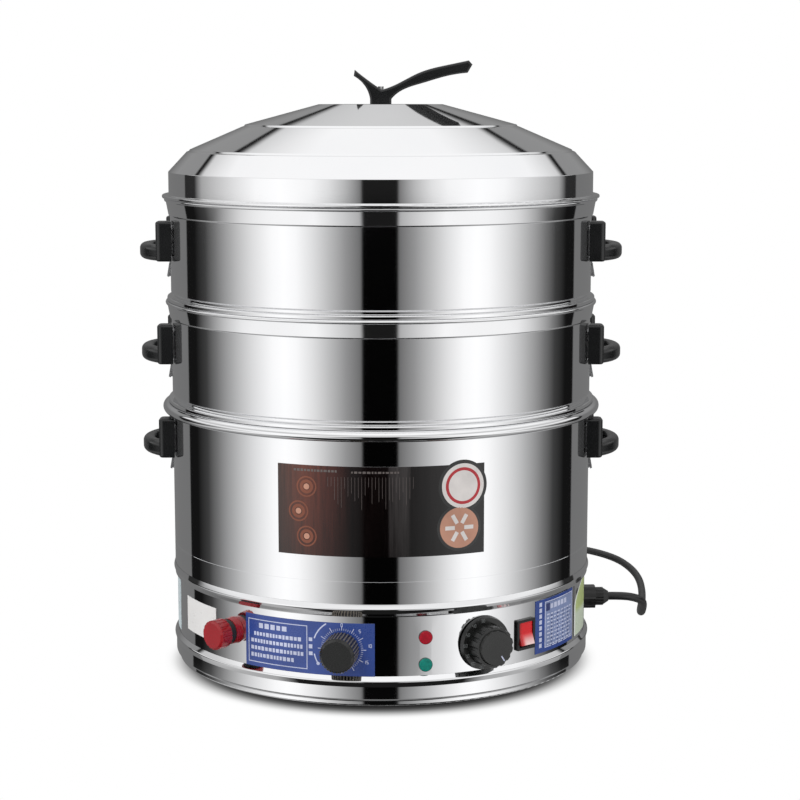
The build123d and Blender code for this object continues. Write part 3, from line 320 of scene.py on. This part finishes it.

# Floor: white, and kept only for its soft shadow, partly cast and partly painted, which reaches a little
# further in front.
# The ramp clears the shadow outwards over its reach, and the painted shadow darkens the floor's colour
# towards the base.
SHADOW = (
    (0.0, 0.0),
    (0.18, 0.04),
    (0.333, 0.16),
    (0.48, 0.40),
    (0.63, 0.67),
    (0.774, 0.86),
    (0.845, 0.93),
    (1.0, 1.0),
)
SHADOW_REACH = (0.1945, 0.2365)
SHADOW_AHEAD = 0.028
SHADOW_GREY = 0.03
FLOOR_GREY = 0.97
FLOOR_GREY_FROM = 0.222
FLOOR_HALF_SIZE = 6.0
FLOOR_DROP = 0.2 * MM

floor_mesh = bpy.data.meshes.new("floor")
bm = bmesh.new()
bmesh.ops.create_grid(bm, x_segments=8, y_segments=8, size=FLOOR_HALF_SIZE)
bm.to_mesh(floor_mesh)
bm.free()
floor = bpy.data.objects.new("floor", floor_mesh)
floor.location = (0.0, 0.0, -FLOOR_DROP)
floor.visible_glossy = False
bpy.context.scene.collection.objects.link(floor)
floor_material = bpy.data.materials.new("floor_white")
s = Shader(floor_material)
place = s.add("TexCoord").outputs["Object"]
ahead = s.add("VectorMath", {0: place, 1: (0.0, SHADOW_AHEAD, 0.0)}, operation="ADD").outputs[0]
distance = s.add("VectorMath", {0: ahead}, operation="LENGTH").outputs["Value"]
# painted shadow: the floor's colour darkens towards the base
painted_shadow_tone = s.mix(s.spread(distance, FLOOR_GREY_FROM, SHADOW_REACH[1]), grey(SHADOW_GREY), grey(FLOOR_GREY))
shaded = s.add("BsdfDiffuse", {"Color": painted_shadow_tone}).outputs[0]
bright = s.add("Emission", {"Color": (*grey(1.0), 1.0), "Strength": 1.0}).outputs[0]
clear = s.ramp(s.spread(distance, *SHADOW_REACH), SHADOW)
far = s.math("MULTIPLY", clear, s.add("LightPath").outputs["Is Camera Ray"])
s.finish(s.add("MixShader", {"Fac": far, 1: shaded, 2: bright}).outputs[0])
floor_mesh.materials.append(floor_material)

# One soft lamp, which polished metal doesn't show
KEY_PLACE = Vector((-1.2, -1.8, 2.2))
KEY_TARGET = Vector((0.0, 0.0, 0.3))
KEY_SIZE = 1.0
KEY_WATTS = 22.0
key_data = bpy.data.lights.new("key", "AREA")
key_data.shape = "DISK"
key_data.size = KEY_SIZE
key_data.energy = KEY_WATTS
key = bpy.data.objects.new("key", key_data)
key.location = KEY_PLACE
key.rotation_mode = "QUATERNION"
key.rotation_quaternion = (KEY_TARGET - KEY_PLACE).to_track_quat("-Z", "Y")
key.visible_glossy = False
bpy.context.scene.collection.objects.link(key)

# Materials, one for each slot of the record. A plain one has its colour, its range of roughness,
# and the scale and depth of its relief.
STEEL_LEVEL = 0.84
PLAIN = {
    "bakelite": ((0.008, 0.0085, 0.009), (0.16, 0.28), (260.0, 0.00004)),
    "black_nylon": ((0.006, 0.006, 0.006), (0.28, 0.42), (700.0, 0.00006)),
    "knob_black": ((0.009, 0.0095, 0.009), (0.2, 0.32), (1200.0, 0.00005)),
    "red_plastic": ((0.34, 0.01, 0.016), (0.12, 0.22), (300.0, 0.00004)),
    "rocker_red": ((0.72, 0.015, 0.02), (0.12, 0.2), (250.0, 0.00003)),
    "rubber": ((0.016, 0.016, 0.017), (0.5, 0.62), (900.0, 0.0001)),
    "cord_rubber": ((0.006, 0.006, 0.0065), (0.3, 0.42), (1200.0, 0.00006)),
    "phenolic": ((0.2, 0.16, 0.13), (0.45, 0.6), (500.0, 0.0001)),
    "insulation": ((0.4, 0.06, 0.03), (0.4, 0.5), (500.0, 0.00005)),
    "front_print": ((0.05, 0.018, 0.012), (0.1, 0.2), (400.0, 0.00002)),
    "blue_print": ((0.035, 0.075, 0.31), (0.2, 0.32), (500.0, 0.00002)),
    "pale_print": ((0.78, 0.8, 0.8), (0.25, 0.4), (500.0, 0.00002)),
}
finishes = {name: solid(name, *looks) for name, looks in PLAIN.items()}
finishes.update(
    {
        "polished_steel": steel("polished_steel", STEEL_LEVEL, (0.035, 0.06), 0.000002),
        "satin_steel": steel("satin_steel", 0.62, (0.22, 0.34), 0.00002),
        "galvanised": solid("galvanised", (0.42, 0.44, 0.45), (0.35, 0.5), (120.0, 0.0001), Metallic=1.0),
        "brass": solid("brass", (0.66, 0.47, 0.2), (0.18, 0.3), (600.0, 0.00003), Metallic=1.0),
        "red_lens": lens("red_lens", (0.40, 0.004, 0.018)),
        "green_lens": lens("green_lens", (0.004, 0.23, 0.18)),
    }
)

# Where the controls and the front label are
TIMER_AZIMUTH = -9.7
TIMER_HEIGHT = 58.0
RIB_CREST = (0.01735, 0.0178)
THERMOSTAT_AZIMUTH = 28.0
THERMOSTAT_HEIGHT = 59.0
FRONT_LABEL_SPAN = (-26.5, 27.5)


def placed(s):
    """Azimuth in degrees and height in mm over the part, for a label's colours."""
    axes = s.object_axes()
    azimuth = s.math("ARCTAN2", axes[0], s.math("MULTIPLY", axes[1], -1.0))
    return s.math("MULTIPLY", azimuth, 180.0 / math.pi), s.math("MULTIPLY", axes[2], 1.0 / MM)


def ribbed_knob():
    """Black plastic whose rib crests, furthest from the timer's axis, carry a painted highlight."""
    material = bpy.data.materials.new("ribbed_knob")
    s = Shader(material)
    axes = s.object_axes()
    turn = math.radians(TIMER_AZIMUTH)
    across_x = s.math("MULTIPLY", axes[0], math.cos(turn))
    across_y = s.math("MULTIPLY", axes[1], math.sin(turn))
    across = s.math("ADD", across_x, across_y)
    along = s.math("SUBTRACT", axes[2], TIMER_HEIGHT * MM)
    squares = s.math("ADD", s.math("MULTIPLY", across, across), s.math("MULTIPLY", along, along))
    rib_highlight_share = s.spread(s.math("SQRT", squares), *RIB_CREST)
    cloud = s.noise(1200.0)
    inputs = {
        # painted highlight: the rib crests turn a light brownish colour
        "Base Color": s.mix(rib_highlight_share, PLAIN["knob_black"][0], (0.17, 0.145, 0.11)),
        "Roughness": s.spread(cloud, 0.3, 0.7, 0.2, 0.32),
        "Normal": s.bump(cloud, 0.00005),
    }
    s.finish(s.add("BsdfPrincipled", inputs).outputs[0])
    return material


def front_film():
    """Dark film: brown and rust on the left, black in the middle, grey to the right."""
    material = bpy.data.materials.new("front_film")
    s = Shader(material)
    azimuth, height = placed(s)
    stops = (
        (0.0, (0.030, 0.014, 0.010)),
        (0.14, (0.080, 0.018, 0.009)),
        (0.24, (0.040, 0.009, 0.006)),
        (0.36, (0.004, 0.002, 0.002)),
        (0.53, (0.003, 0.002, 0.002)),
        (0.54, (0.028, 0.025, 0.025)),
        (0.62, (0.028, 0.025, 0.025)),
        (0.64, (0.004, 0.003, 0.003)),
    )
    body = s.ramp(s.spread(azimuth, *FRONT_LABEL_SPAN), stops)
    streak = s.noise(320.0, (1.0, 1.0, 0.05), 3.0, 0.6)
    upward = s.spread(height, 150.0, 235.0, 0.5, 1.3)
    glow = s.math("MULTIPLY", upward, s.spread(streak, 0.3, 0.7, 0.7, 1.5))
    colour = s.add("VectorMath", {0: body, "Scale": glow}, operation="SCALE").outputs[0]
    inputs = {"Base Color": colour, "Roughness": s.spread(streak, 0.3, 0.7, 0.07, 0.14)}
    s.finish(s.add("BsdfPrincipled", inputs).outputs[0])
    return material


def lit_rocker():
    """Clear red plastic with a painted highlight on its lower half and painted shade on its left side."""
    material = bpy.data.materials.new("lit_rocker")
    s = Shader(material)
    azimuth, height = placed(s)
    # painted highlight: the lower half, right of the left side, turns pinkish white
    low = s.spread(height, 60.5, 50.0, smooth=True)
    painted_highlight = s.math("MULTIPLY", low, s.spread(azimuth, 39.8, 41.4, smooth=True))
    # painted shade: the rocker's left side is darkened to a deep red
    red = s.mix(s.spread(azimuth, 38.4, 40.4), (0.12, 0.003, 0.004), (0.72, 0.012, 0.018))
    inputs = {
        "Base Color": s.mix(painted_highlight, red, (0.88, 0.62, 0.6)),
        "Roughness": s.spread(s.noise(200.0), 0.3, 0.7, 0.1, 0.2),
    }
    s.finish(s.add("BsdfPrincipled", inputs).outputs[0])
    return material


def side_label_sheet():
    """Pale labels: white beside the drain, bluish behind it, green with a curved edge by the gland."""
    corner_height, corner_azimuth, bow_rate = 66.0, 67.0, 0.013
    material = bpy.data.materials.new("side_label_sheet")
    s = Shader(material)
    azimuth, height = placed(s)
    green = s.mix(s.spread(height, 58.0, 64.0), (0.60, 0.68, 0.53), (0.47, 0.56, 0.22))
    bow = s.math("POWER", s.math("MAXIMUM", s.math("SUBTRACT", height, corner_height), 0.0), 2.0)
    edge = s.math("ADD", s.math("MULTIPLY", bow, bow_rate), corner_azimuth)
    inward = s.math("SUBTRACT", azimuth, edge)
    green = s.mix(s.spread(inward, 0.9, 1.3), (0.80, 0.84, 0.78), green)
    white = s.mix(s.spread(azimuth, -72.0, -70.0), (0.66, 0.76, 0.79), (0.82, 0.81, 0.80))
    colour = s.mix(s.spread(azimuth, 0.0, 1.0), white, green)
    grain = s.spread(s.noise(60.0, detail=5.0), 0.3, 0.7, 0.25, 0.4)
    paper = s.add("BsdfPrincipled", {"Base Color": colour, "Roughness": grain}).outputs[0]
    bare = {"Base Color": (*grey(STEEL_LEVEL), 1.0), "Metallic": 1.0, "Roughness": 0.05}
    bare = s.add("BsdfPrincipled", bare).outputs[0]
    off = s.math("MULTIPLY", s.math("LESS_THAN", inward, 0.0), s.math("GREATER_THAN", azimuth, 0.0))
    s.finish(s.add("MixShader", {"Fac": off, 1: paper, 2: bare}).outputs[0])
    return material


for part in frame["record"]["subparts"]:
    mesh = frame["nodes"][part["node"]].data
    mesh.materials.clear()
    mesh.materials.append(finishes[part["material_slot"]])
painted = (
    ("front_label", front_film()),
    ("side_labels", side_label_sheet()),
    ("switch_rocker", lit_rocker()),
    ("timer_knob", ribbed_knob()),
)
for node, material in painted:
    frame["nodes"][node].data.materials[0] = material


def link(made, body, slot):
    """Put a finished piece in the scene, on its body, with its slot's finish."""
    bpy.context.scene.collection.objects.link(made)
    if not made.data.materials:
        made.data.materials.append(finishes[slot])
    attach(made, body)
    return made


def on_wall(radius):
    """A map from azimuth in degrees, height in mm and lift in mm to the wall's curve."""
    return lambda across, up, lift: around(across, radius + lift * MM, up * MM)


def on_face(azimuth, radius, height):
    """A map from mm across, up and off a flat face that looks outwards at an azimuth."""
    centre = around(azimuth, radius, height)
    right = around(azimuth + 90.0, 1.0)
    outward = around(azimuth, 1.0)
    return lambda across, up, lift: centre + (right * across + Vector((0, 0, up)) + outward * lift) * MM


# Printed marks: quads laid out flat, then wrapped on a wall or a face, each layer a little higher
PRINT_LIFT = 0.06
WIDEST_QUAD = 1.0
WIDEST_RING = 3.0


def box(left, bottom, right, top):
    """A filled rectangle as narrow quads, which follow the wall's curve."""
    count = max(1, math.ceil(abs(right - left) / WIDEST_QUAD))
    edges = [left + (right - left) * index / count for index in range(count + 1)]
    return [((x0, bottom), (x1, bottom), (x1, top), (x0, top)) for x0, x1 in zip(edges, edges[1:])]


def frame_lines(left, bottom, right, top, across, up):
    """The four lines of a rectangle, given the line's width across and up."""
    return (
        box(left, bottom, right, bottom + up)
        + box(left, top - up, right, top)
        + box(left, bottom, left + across, top)
        + box(right - across, bottom, right, top)
    )


def arc_band(centre, inner, outer, start, stop, stretch, steps=24):
    """Part of a ring between two angles. Stretch turns mm across into degrees."""
    def spot(radius, index):
        angle = math.radians(start + (stop - start) * index / steps)
        return centre[0] + radius * math.cos(angle) * stretch, centre[1] + radius * math.sin(angle)

    rings = max(1, math.ceil((outer - inner) / WIDEST_RING))
    radii = [inner + (outer - inner) * index / rings for index in range(rings + 1)]
    return [
        (spot(r0, index), spot(r1, index), spot(r1, index + 1), spot(r0, index + 1))
        for r0, r1 in zip(radii, radii[1:])
        for index in range(steps)
    ]


def stroke(start, end, width, stretch=1.0):
    """A straight line between two points in mm, laid out from a centre."""
    run, climb = end[0] - start[0], end[1] - start[1]
    length = math.hypot(run, climb)
    aside = (-climb / length * width / 2, run / length * width / 2)
    corners = (
        (start[0] + aside[0], start[1] + aside[1]),
        (end[0] + aside[0], end[1] + aside[1]),
        (end[0] - aside[0], end[1] - aside[1]),
        (start[0] - aside[0], start[1] - aside[1]),
    )
    return [tuple((x * stretch, y) for x, y in corners)]


SEGMENTS = {
    "0": "abcdef",
    "1": "bc",
    "2": "abged",
    "3": "abgcd",
    "4": "fgbc",
    "5": "afgcd",
    "6": "afgcde",
    "7": "abc",
    "8": "abcdefg",
    "9": "abcdfg",
}
SEGMENT_ENDS = {
    "a": ((-1, 2), (1, 2)),
    "b": ((1, 2), (1, 0)),
    "c": ((1, 0), (1, -2)),
    "d": ((-1, -2), (1, -2)),
    "e": ((-1, 0), (-1, -2)),
    "f": ((-1, 2), (-1, 0)),
    "g": ((-1, 0), (1, 0)),
}
DIGIT_PITCH = 0.8
DIGIT_LINE = 0.5


def number(text, centre, size, stretch=1.0):
    """A plain number in straight strokes, centred on a point in mm."""
    quads = []
    for index, digit in enumerate(text):
        middle = centre[0] + (index - (len(text) - 1) / 2) * size * DIGIT_PITCH
        for segment in SEGMENTS[digit]:
            ends = [(middle + x * size / 4, centre[1] + y * size / 4) for x, y in SEGMENT_ENDS[segment]]
            quads += stroke(*ends, DIGIT_LINE, stretch)
    return quads


def shifted(quads, across, up):
    """Quads moved by an amount across and up."""
    return [tuple((x + across, y + up) for x, y in quad) for quad in quads]


def on_circle(radius, angle, squash=1.0):
    """A point at an angle in degrees on a circle round the centre, or on an ellipse."""
    turn = math.radians(angle)
    return radius * math.cos(turn), radius * squash * math.sin(turn)


def printed(name, place, quads, body, slot, material, layer=1):
    """One flat printed mark made of quads, on a wall or a face."""
    mesh = bpy.data.meshes.new(name)
    bm = bmesh.new()
    for quad in quads:
        corners = [bm.verts.new(place(x, y, PRINT_LIFT * layer)) for x, y in quad]
        bm.faces.new(corners)
    bmesh.ops.remove_doubles(bm, verts=bm.verts, dist=1e-6)
    bmesh.ops.recalc_face_normals(bm, faces=bm.faces)
    bm.to_mesh(mesh)
    bm.free()
    mesh.materials.append(material)
    link(bpy.data.objects.new(name, mesh), body, slot)


white_ink = ink("white_ink", (0.62, 0.66, 0.86))
pale_blue_ink = ink("pale_blue_ink", (0.24, 0.3, 0.52))
dark_blue_ink = ink("dark_blue_ink", (0.03, 0.045, 0.17))
grey_ink = ink("grey_ink", (0.17, 0.18, 0.18), (0.4, 0.5))
outline_ink = ink("outline_ink", grey(0.022), (0.25, 0.4))
cream_ink = ink("cream_ink", (0.72, 0.68, 0.66))
badge_red_ink = ink("badge_red_ink", (0.45, 0.02, 0.03))
tan_ink = ink("tan_ink", (0.5, 0.25, 0.17))
rust_ink = ink("rust_ink", (0.2, 0.055, 0.025))
rule_ink = ink("rule_ink", (0.12, 0.1, 0.095))

# Printing on the band's labels: plain frames, rules, dashes, ticks and numbers.
# A row of dashes is its left and right azimuth, its middle and its height.
BAND_LABEL = BAND_RADIUS + LABEL_TOP
band = on_wall(BAND_LABEL)
BAND_DEGREES = math.degrees(MM / BAND_LABEL)
dice = random.Random(5)


def dashes(left, right, middle, tall, widths, gap):
    """A row of short marks of uneven width."""
    quads = []
    spot = left
    while True:
        wide = dice.uniform(*widths)
        if spot + wide > right:
            return quads
        grow = tall * dice.uniform(0.8, 1.0) / 2
        quads += box(spot, middle - grow, spot + wide, middle + grow)
        spot += wide + gap


TIMER_ROWS = ((-34.8, -19.6), (-35.8, -19.4), (-35.8, -19.8), (-35.8, -22.6))
TIMER_ROW_TOP = 65.2
TIMER_ROW_PITCH = 7.4
timer_quads = frame_lines(-36.7, 35.2, -18.9, 80.2, 0.22, 0.9)
timer_quads += dashes(-33.2, -24.5, 74.0, 5.4, (1.1, 1.4), 0.5)
for row, (left, right) in enumerate(TIMER_ROWS):
    timer_quads += dashes(left, right, TIMER_ROW_TOP - TIMER_ROW_PITCH * row, 4.4, (0.55, 0.95), 0.28)
for height in (66.4, 59.2, 52.0):
    timer_quads += dashes(-18.5, -16.8, height, 4.2, (0.9, 1.1), 0.2)

TICKS = 60
TICKS_A_MARK = 5
TOP_TICK = TICKS // 4
TICK_FOOT = 19.4
TICK_HEAD = 21.6
MARK_HEAD = 24.6
TOP_MARK_HEAD = 23.0
TICK_WIDTH = 0.4
MARK_WIDTH = 0.7
TIMER_NUMBERS = ("15", "10", "5", "0")
TIMER_NUMBER_RADIUS = 28.2
TIMER_NUMBER_SQUASH = 25.0 / TIMER_NUMBER_RADIUS
TIMER_NUMBER_SIZE = 3.2
dial_quads = []
for tick in range(TICKS):
    marked = tick % TICKS_A_MARK == 0
    head = (TOP_MARK_HEAD if tick == TOP_TICK else MARK_HEAD) if marked else TICK_HEAD
    ends = [on_circle(radius, tick * 360.0 / TICKS) for radius in (TICK_FOOT, head)]
    dial_quads += stroke(*ends, MARK_WIDTH if marked else TICK_WIDTH, BAND_DEGREES)
for step, label in enumerate(TIMER_NUMBERS):
    spot = on_circle(TIMER_NUMBER_RADIUS, -30.0 + 40.0 * step, TIMER_NUMBER_SQUASH)
    dial_quads += number(label, spot, TIMER_NUMBER_SIZE, BAND_DEGREES)
dial_quads += arc_band((0.0, 0.0), 29.4, 30.7, 122.0, 161.0, BAND_DEGREES)
dial_quads += arc_band((0.0, 0.0), 28.4, 29.7, 192.0, 212.0, BAND_DEGREES)
dial_quads += arc_band((-24.5 * BAND_DEGREES, -15.8), 0.3, 1.7, 0.0, 360.0, BAND_DEGREES)
timer_quads += shifted(dial_quads, TIMER_AZIMUTH, TIMER_HEIGHT)
printed("timer_print", band, timer_quads, "base", "pale_print", white_ink)

TABLE_ROWS = 9
TABLE_ROW_PITCH = 4.0
SIDE_MARKS = 8
SIDE_MARK_PITCH = 6.2
printed("table_ground", band, box(49.9, 40.0, 64.6, 86.0), "base", "blue_print", pale_blue_ink)
table_quads = frame_lines(49.6, 38.6, 64.8, 87.4, 0.3, 1.0)
table_quads += dashes(52.2, 62.4, 81.0, 5.6, (1.2, 1.5), 0.45)
for row in range(TABLE_ROWS):
    table_quads += dashes(50.6, 64.2, 73.0 - TABLE_ROW_PITCH * row, 1.6, (0.7, 1.5), 0.5)
for row in range(SIDE_MARKS):
    table_quads += box(47.2, 40.0 + SIDE_MARK_PITCH * row, 48.3, 44.4 + SIDE_MARK_PITCH * row)
printed("table_print", band, table_quads, "base", "pale_print", white_ink, 2)
table_dots = box(50.2, 77.0, 51.9, 85.0)
for row in range(TABLE_ROWS):
    for spot in (52.6, 55.6, 58.6, 61.6):
        drop = TABLE_ROW_PITCH * row
        table_dots += box(spot, 70.4 - drop, spot + 0.5, 71.8 - drop)
printed("table_dots", band, table_dots, "base", "blue_print", dark_blue_ink, 2)

# Front label: a dark film with a plain badge, a mark of six petals, three small rings and fine rules
FRONT_LABEL = BODY_RADIUS + LABEL_TOP
front = on_wall(FRONT_LABEL)
FRONT_DEGREES = math.degrees(MM / FRONT_LABEL)
CENTRE_HOLE = 0.05
BADGE = (21.6, 222.0)
LEAF = (20.6, 180.0)
LEAF_PETALS = 6
WARM_RINGS = ((-18.6, 222.0), (-20.8, 197.0), (-18.6, 172.0))
RULES = 26
RULE_TOP = 233.0
RULE_START = -13.0
RULE_PITCH = 0.86
RULE_WIDTH = 0.07


def round_mark(centre, outer, inner=CENTRE_HOLE):
    """A full ring or disc on the front label."""
    return arc_band(centre, inner, outer, 0.0, 360.0, FRONT_DEGREES, 48)


leaf_quads = []
for turn in range(LEAF_PETALS):
    angle = 360.0 * turn / LEAF_PETALS
    petal = stroke(on_circle(5.0, angle), on_circle(15.0, angle), 4.0, FRONT_DEGREES)
    leaf_quads += shifted(petal, *LEAF)
ring_quads, dot_quads = [], []
for spot in WARM_RINGS:
    ring_quads += round_mark(spot, 7.0, 4.0) + round_mark(spot, 10.5, 9.0)
    dot_quads += round_mark(spot, 3.0)
rule_quads = dashes(-22.0, -10.5, 238.5, 2.6, (0.4, 0.9), 0.25)
rule_quads += dashes(-7.0, 5.0, 237.8, 2.2, (0.4, 0.9), 0.3)
for column in range(RULES):
    azimuth = RULE_START + RULE_PITCH * column
    rule_quads += box(azimuth, RULE_TOP - dice.uniform(8.0, 34.0), azimuth + RULE_WIDTH, RULE_TOP)
front_marks = (
    ("badge_edge", round_mark(BADGE, 26.0), "front_print", outline_ink, 1),
    ("badge_cream", round_mark(BADGE, 22.5), "pale_print", cream_ink, 2),
    ("badge_ring", round_mark(BADGE, 18.5, 15.5), "front_print", badge_red_ink, 3),
    ("leaf_edge", round_mark(LEAF, 23.5), "front_print", outline_ink, 1),
    ("leaf_ground", round_mark(LEAF, 20.5), "front_print", tan_ink, 2),
    ("leaf_petals", leaf_quads, "pale_print", cream_ink, 3),
    ("warm_rings", ring_quads, "front_print", rust_ink, 1),
    ("warm_dots", dot_quads, "front_print", tan_ink, 1),
    ("front_rules", rule_quads, "front_print", rule_ink, 1),
)
for name, quads, slot, material, layer in front_marks:
    printed(name, front, quads, "base", slot, material, layer)

# Numbers on the thermostat's dial, and the pointer on its cap
KNOB_BACK = BAND_RADIUS + 0.0011
DIAL_DEPTH = 0.005
KNOB_DEPTH = 0.025
DIAL_NUMBERS = range(30, 120, 10)
DIAL_NUMBER_RADIUS = 24.4
DIAL_NUMBER_SIZE = 3.0
POINTER = ((5.6, -8.6), (9.1, -14.0))
POINTER_WIDTH = 1.3
dial_face = on_face(THERMOSTAT_AZIMUTH, KNOB_BACK + DIAL_DEPTH, THERMOSTAT_HEIGHT * MM)
cap_face = on_face(THERMOSTAT_AZIMUTH, KNOB_BACK + KNOB_DEPTH, THERMOSTAT_HEIGHT * MM)
dial_quads = []
for step, value in enumerate(DIAL_NUMBERS):
    spot = on_circle(DIAL_NUMBER_RADIUS, 100.0 + 26.0 * step)
    dial_quads += number(str(value), spot, DIAL_NUMBER_SIZE)
pointer = stroke(*POINTER, POINTER_WIDTH)
printed("thermostat_numbers", dial_face, dial_quads, "thermostat_dial", "knob_black", grey_ink)
printed("thermostat_pointer", cap_face, pointer, "thermostat_dial", "pale_print", white_ink)


# Ridges above and below the band, over the CAD rings and a hair proud of the walls
RIDGE_SIDES = 256
RIDGE_PEAK = 0.2268
CREST_SHARE = 0.22
CREST_STEPS = 8
RING_LIP = 0.0016
RING_INNER = 0.2195
FLANGE_INNER = 0.204
WALL_FACE = BODY_RADIUS + 0.1 * MM
BAND_FACE = BAND_RADIUS + 0.1 * MM


def crest(foot, head, height):
    """Two straight flanks from a foot and a head that meet in a small round at a height."""
    peak = (RIDGE_PEAK, height)
    low, high = (tuple(p + (e - p) * CREST_SHARE for p, e in zip(peak, end)) for end in (foot, head))
    points = [foot]
    for index in range(CREST_STEPS + 1):
        t = index / CREST_STEPS
        weights = ((1 - t) ** 2, 2 * t * (1 - t), t**2)
        points.append(tuple(sum(w * p[axis] for w, p in zip(weights, (low, peak, high))) for axis in (0, 1)))
    return points + [head]


def ridge(name, foot, head, height, inner, node):
    """A ring with a crested outside, whose lip reaches in to a radius. Its corners stay sharp."""
    lip = foot[1] + RING_LIP
    runs = (
        crest(foot, head, height),
        (head, (head[0], lip), (inner, lip)),
        ((inner, lip), (inner, foot[1]), foot),
    )
    mesh = bpy.data.meshes.new(name)
    bm = bmesh.new()
    for run in runs:
        loops = []
        for index in range(RIDGE_SIDES):
            azimuth = 360.0 * index / RIDGE_SIDES
            loops.append([bm.verts.new(around(azimuth, radius, level)) for radius, level in run])
        for index in range(RIDGE_SIDES):
            first, second = loops[index], loops[(index + 1) % RIDGE_SIDES]
            for step in range(len(run) - 1):
                face = bm.faces.new((first[step], second[step], second[step + 1], first[step + 1]))
                face.smooth = True
    bm.to_mesh(mesh)
    bm.free()
    made = link(bpy.data.objects.new(name, mesh), "base", "polished_steel")
    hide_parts(node)


ridge("upper_ridge", (BAND_FACE, 0.0916), (WALL_FACE, 0.105), 0.0993, RING_INNER, "upper_trim_ring")
ridge("lower_ridge", (WALL_FACE, 0.0206), (BAND_FACE, 0.031), 0.0265, FLANGE_INNER, "lower_trim_ring")


# Mains cord: the route of the CAD cord and of its coil, as one spline. It leaves the gland's
# face, given by its azimuth, radius and height.
GLAND_FACE = (93.0, 0.2515, 0.054)
CORD_RADIUS = 0.0045
COIL_CENTRE = (0.070, 0.445)
COIL_RADII = (0.0576, 0.0528, 0.048, 0.0432, 0.0364)
COIL_LIFT = 0.0096
POINTS_A_TURN = 14
cord_exit = around(*GLAND_FACE)
route = [
    cord_exit,
    (0.26863, 0.01408, 0.054),
    (0.2845, 0.0235, 0.049),
    (0.2935, 0.040, 0.041),
    (0.297, 0.066, 0.028),
    (0.2995, 0.099, 0.013),
    (0.3025, 0.136, CORD_RADIUS),
    (0.310, 0.181, CORD_RADIUS),
    (0.317, 0.238, CORD_RADIUS),
    (0.3205, 0.300, CORD_RADIUS),
    (0.316, 0.358, CORD_RADIUS),
    (0.303, 0.410, CORD_RADIUS),
    (0.276, 0.452, CORD_RADIUS),
    (0.236, 0.482, CORD_RADIUS),
    (0.188, 0.499, CORD_RADIUS),
    (0.136, 0.5026, CORD_RADIUS),
    (0.100, 0.5026, CORD_RADIUS),
]
# The coil's half turns close in on the floor, climb at the innermost and open out again on top.
# The spline passes inside its points, so each lies a little outside the turn's own radius.
half_turns = COIL_RADII + COIL_RADII[::-1]
top_layer = CORD_RADIUS + COIL_LIFT
steps = POINTS_A_TURN // 2
for index, (start, end) in enumerate(zip(half_turns, half_turns[1:])):
    side = 1 if index % 2 == 0 else -1
    base = CORD_RADIUS if index < len(COIL_RADII) else top_layer
    climb = COIL_LIFT if index == len(COIL_RADII) - 1 else 0.0
    for step in range(steps):
        share = step / steps
        angle = math.pi * share
        wide = (start + (end - start) * share) / math.cos(math.pi / POINTS_A_TURN)
        across = COIL_CENTRE[0] - side * wide * math.sin(angle)
        back = COIL_CENTRE[1] + side * wide * math.cos(angle)
        route.append((across, back, base + climb * share))
for across in (COIL_CENTRE[0], 0.098, 0.1411):
    route.append((across, COIL_CENTRE[1] - COIL_RADII[0], top_layer))

cord_curve = bpy.data.curves.new("mains_cord", "CURVE")
cord_curve.dimensions = "3D"
cord_curve.bevel_depth = CORD_RADIUS
cord_curve.bevel_resolution = 6
cord_curve.resolution_u = 8
cord_curve.use_fill_caps = True
spline = cord_curve.splines.new("NURBS")
spline.points.add(len(route) - 1)
for point, place in zip(spline.points, route):
    point.co = (*place, 1.0)
spline.order_u = 3
spline.use_endpoint_u = True
mains_cord = link(bpy.data.objects.new("mains_cord", cord_curve), "base", "cord_rubber")
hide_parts("power_cord", "power_cord_coil")
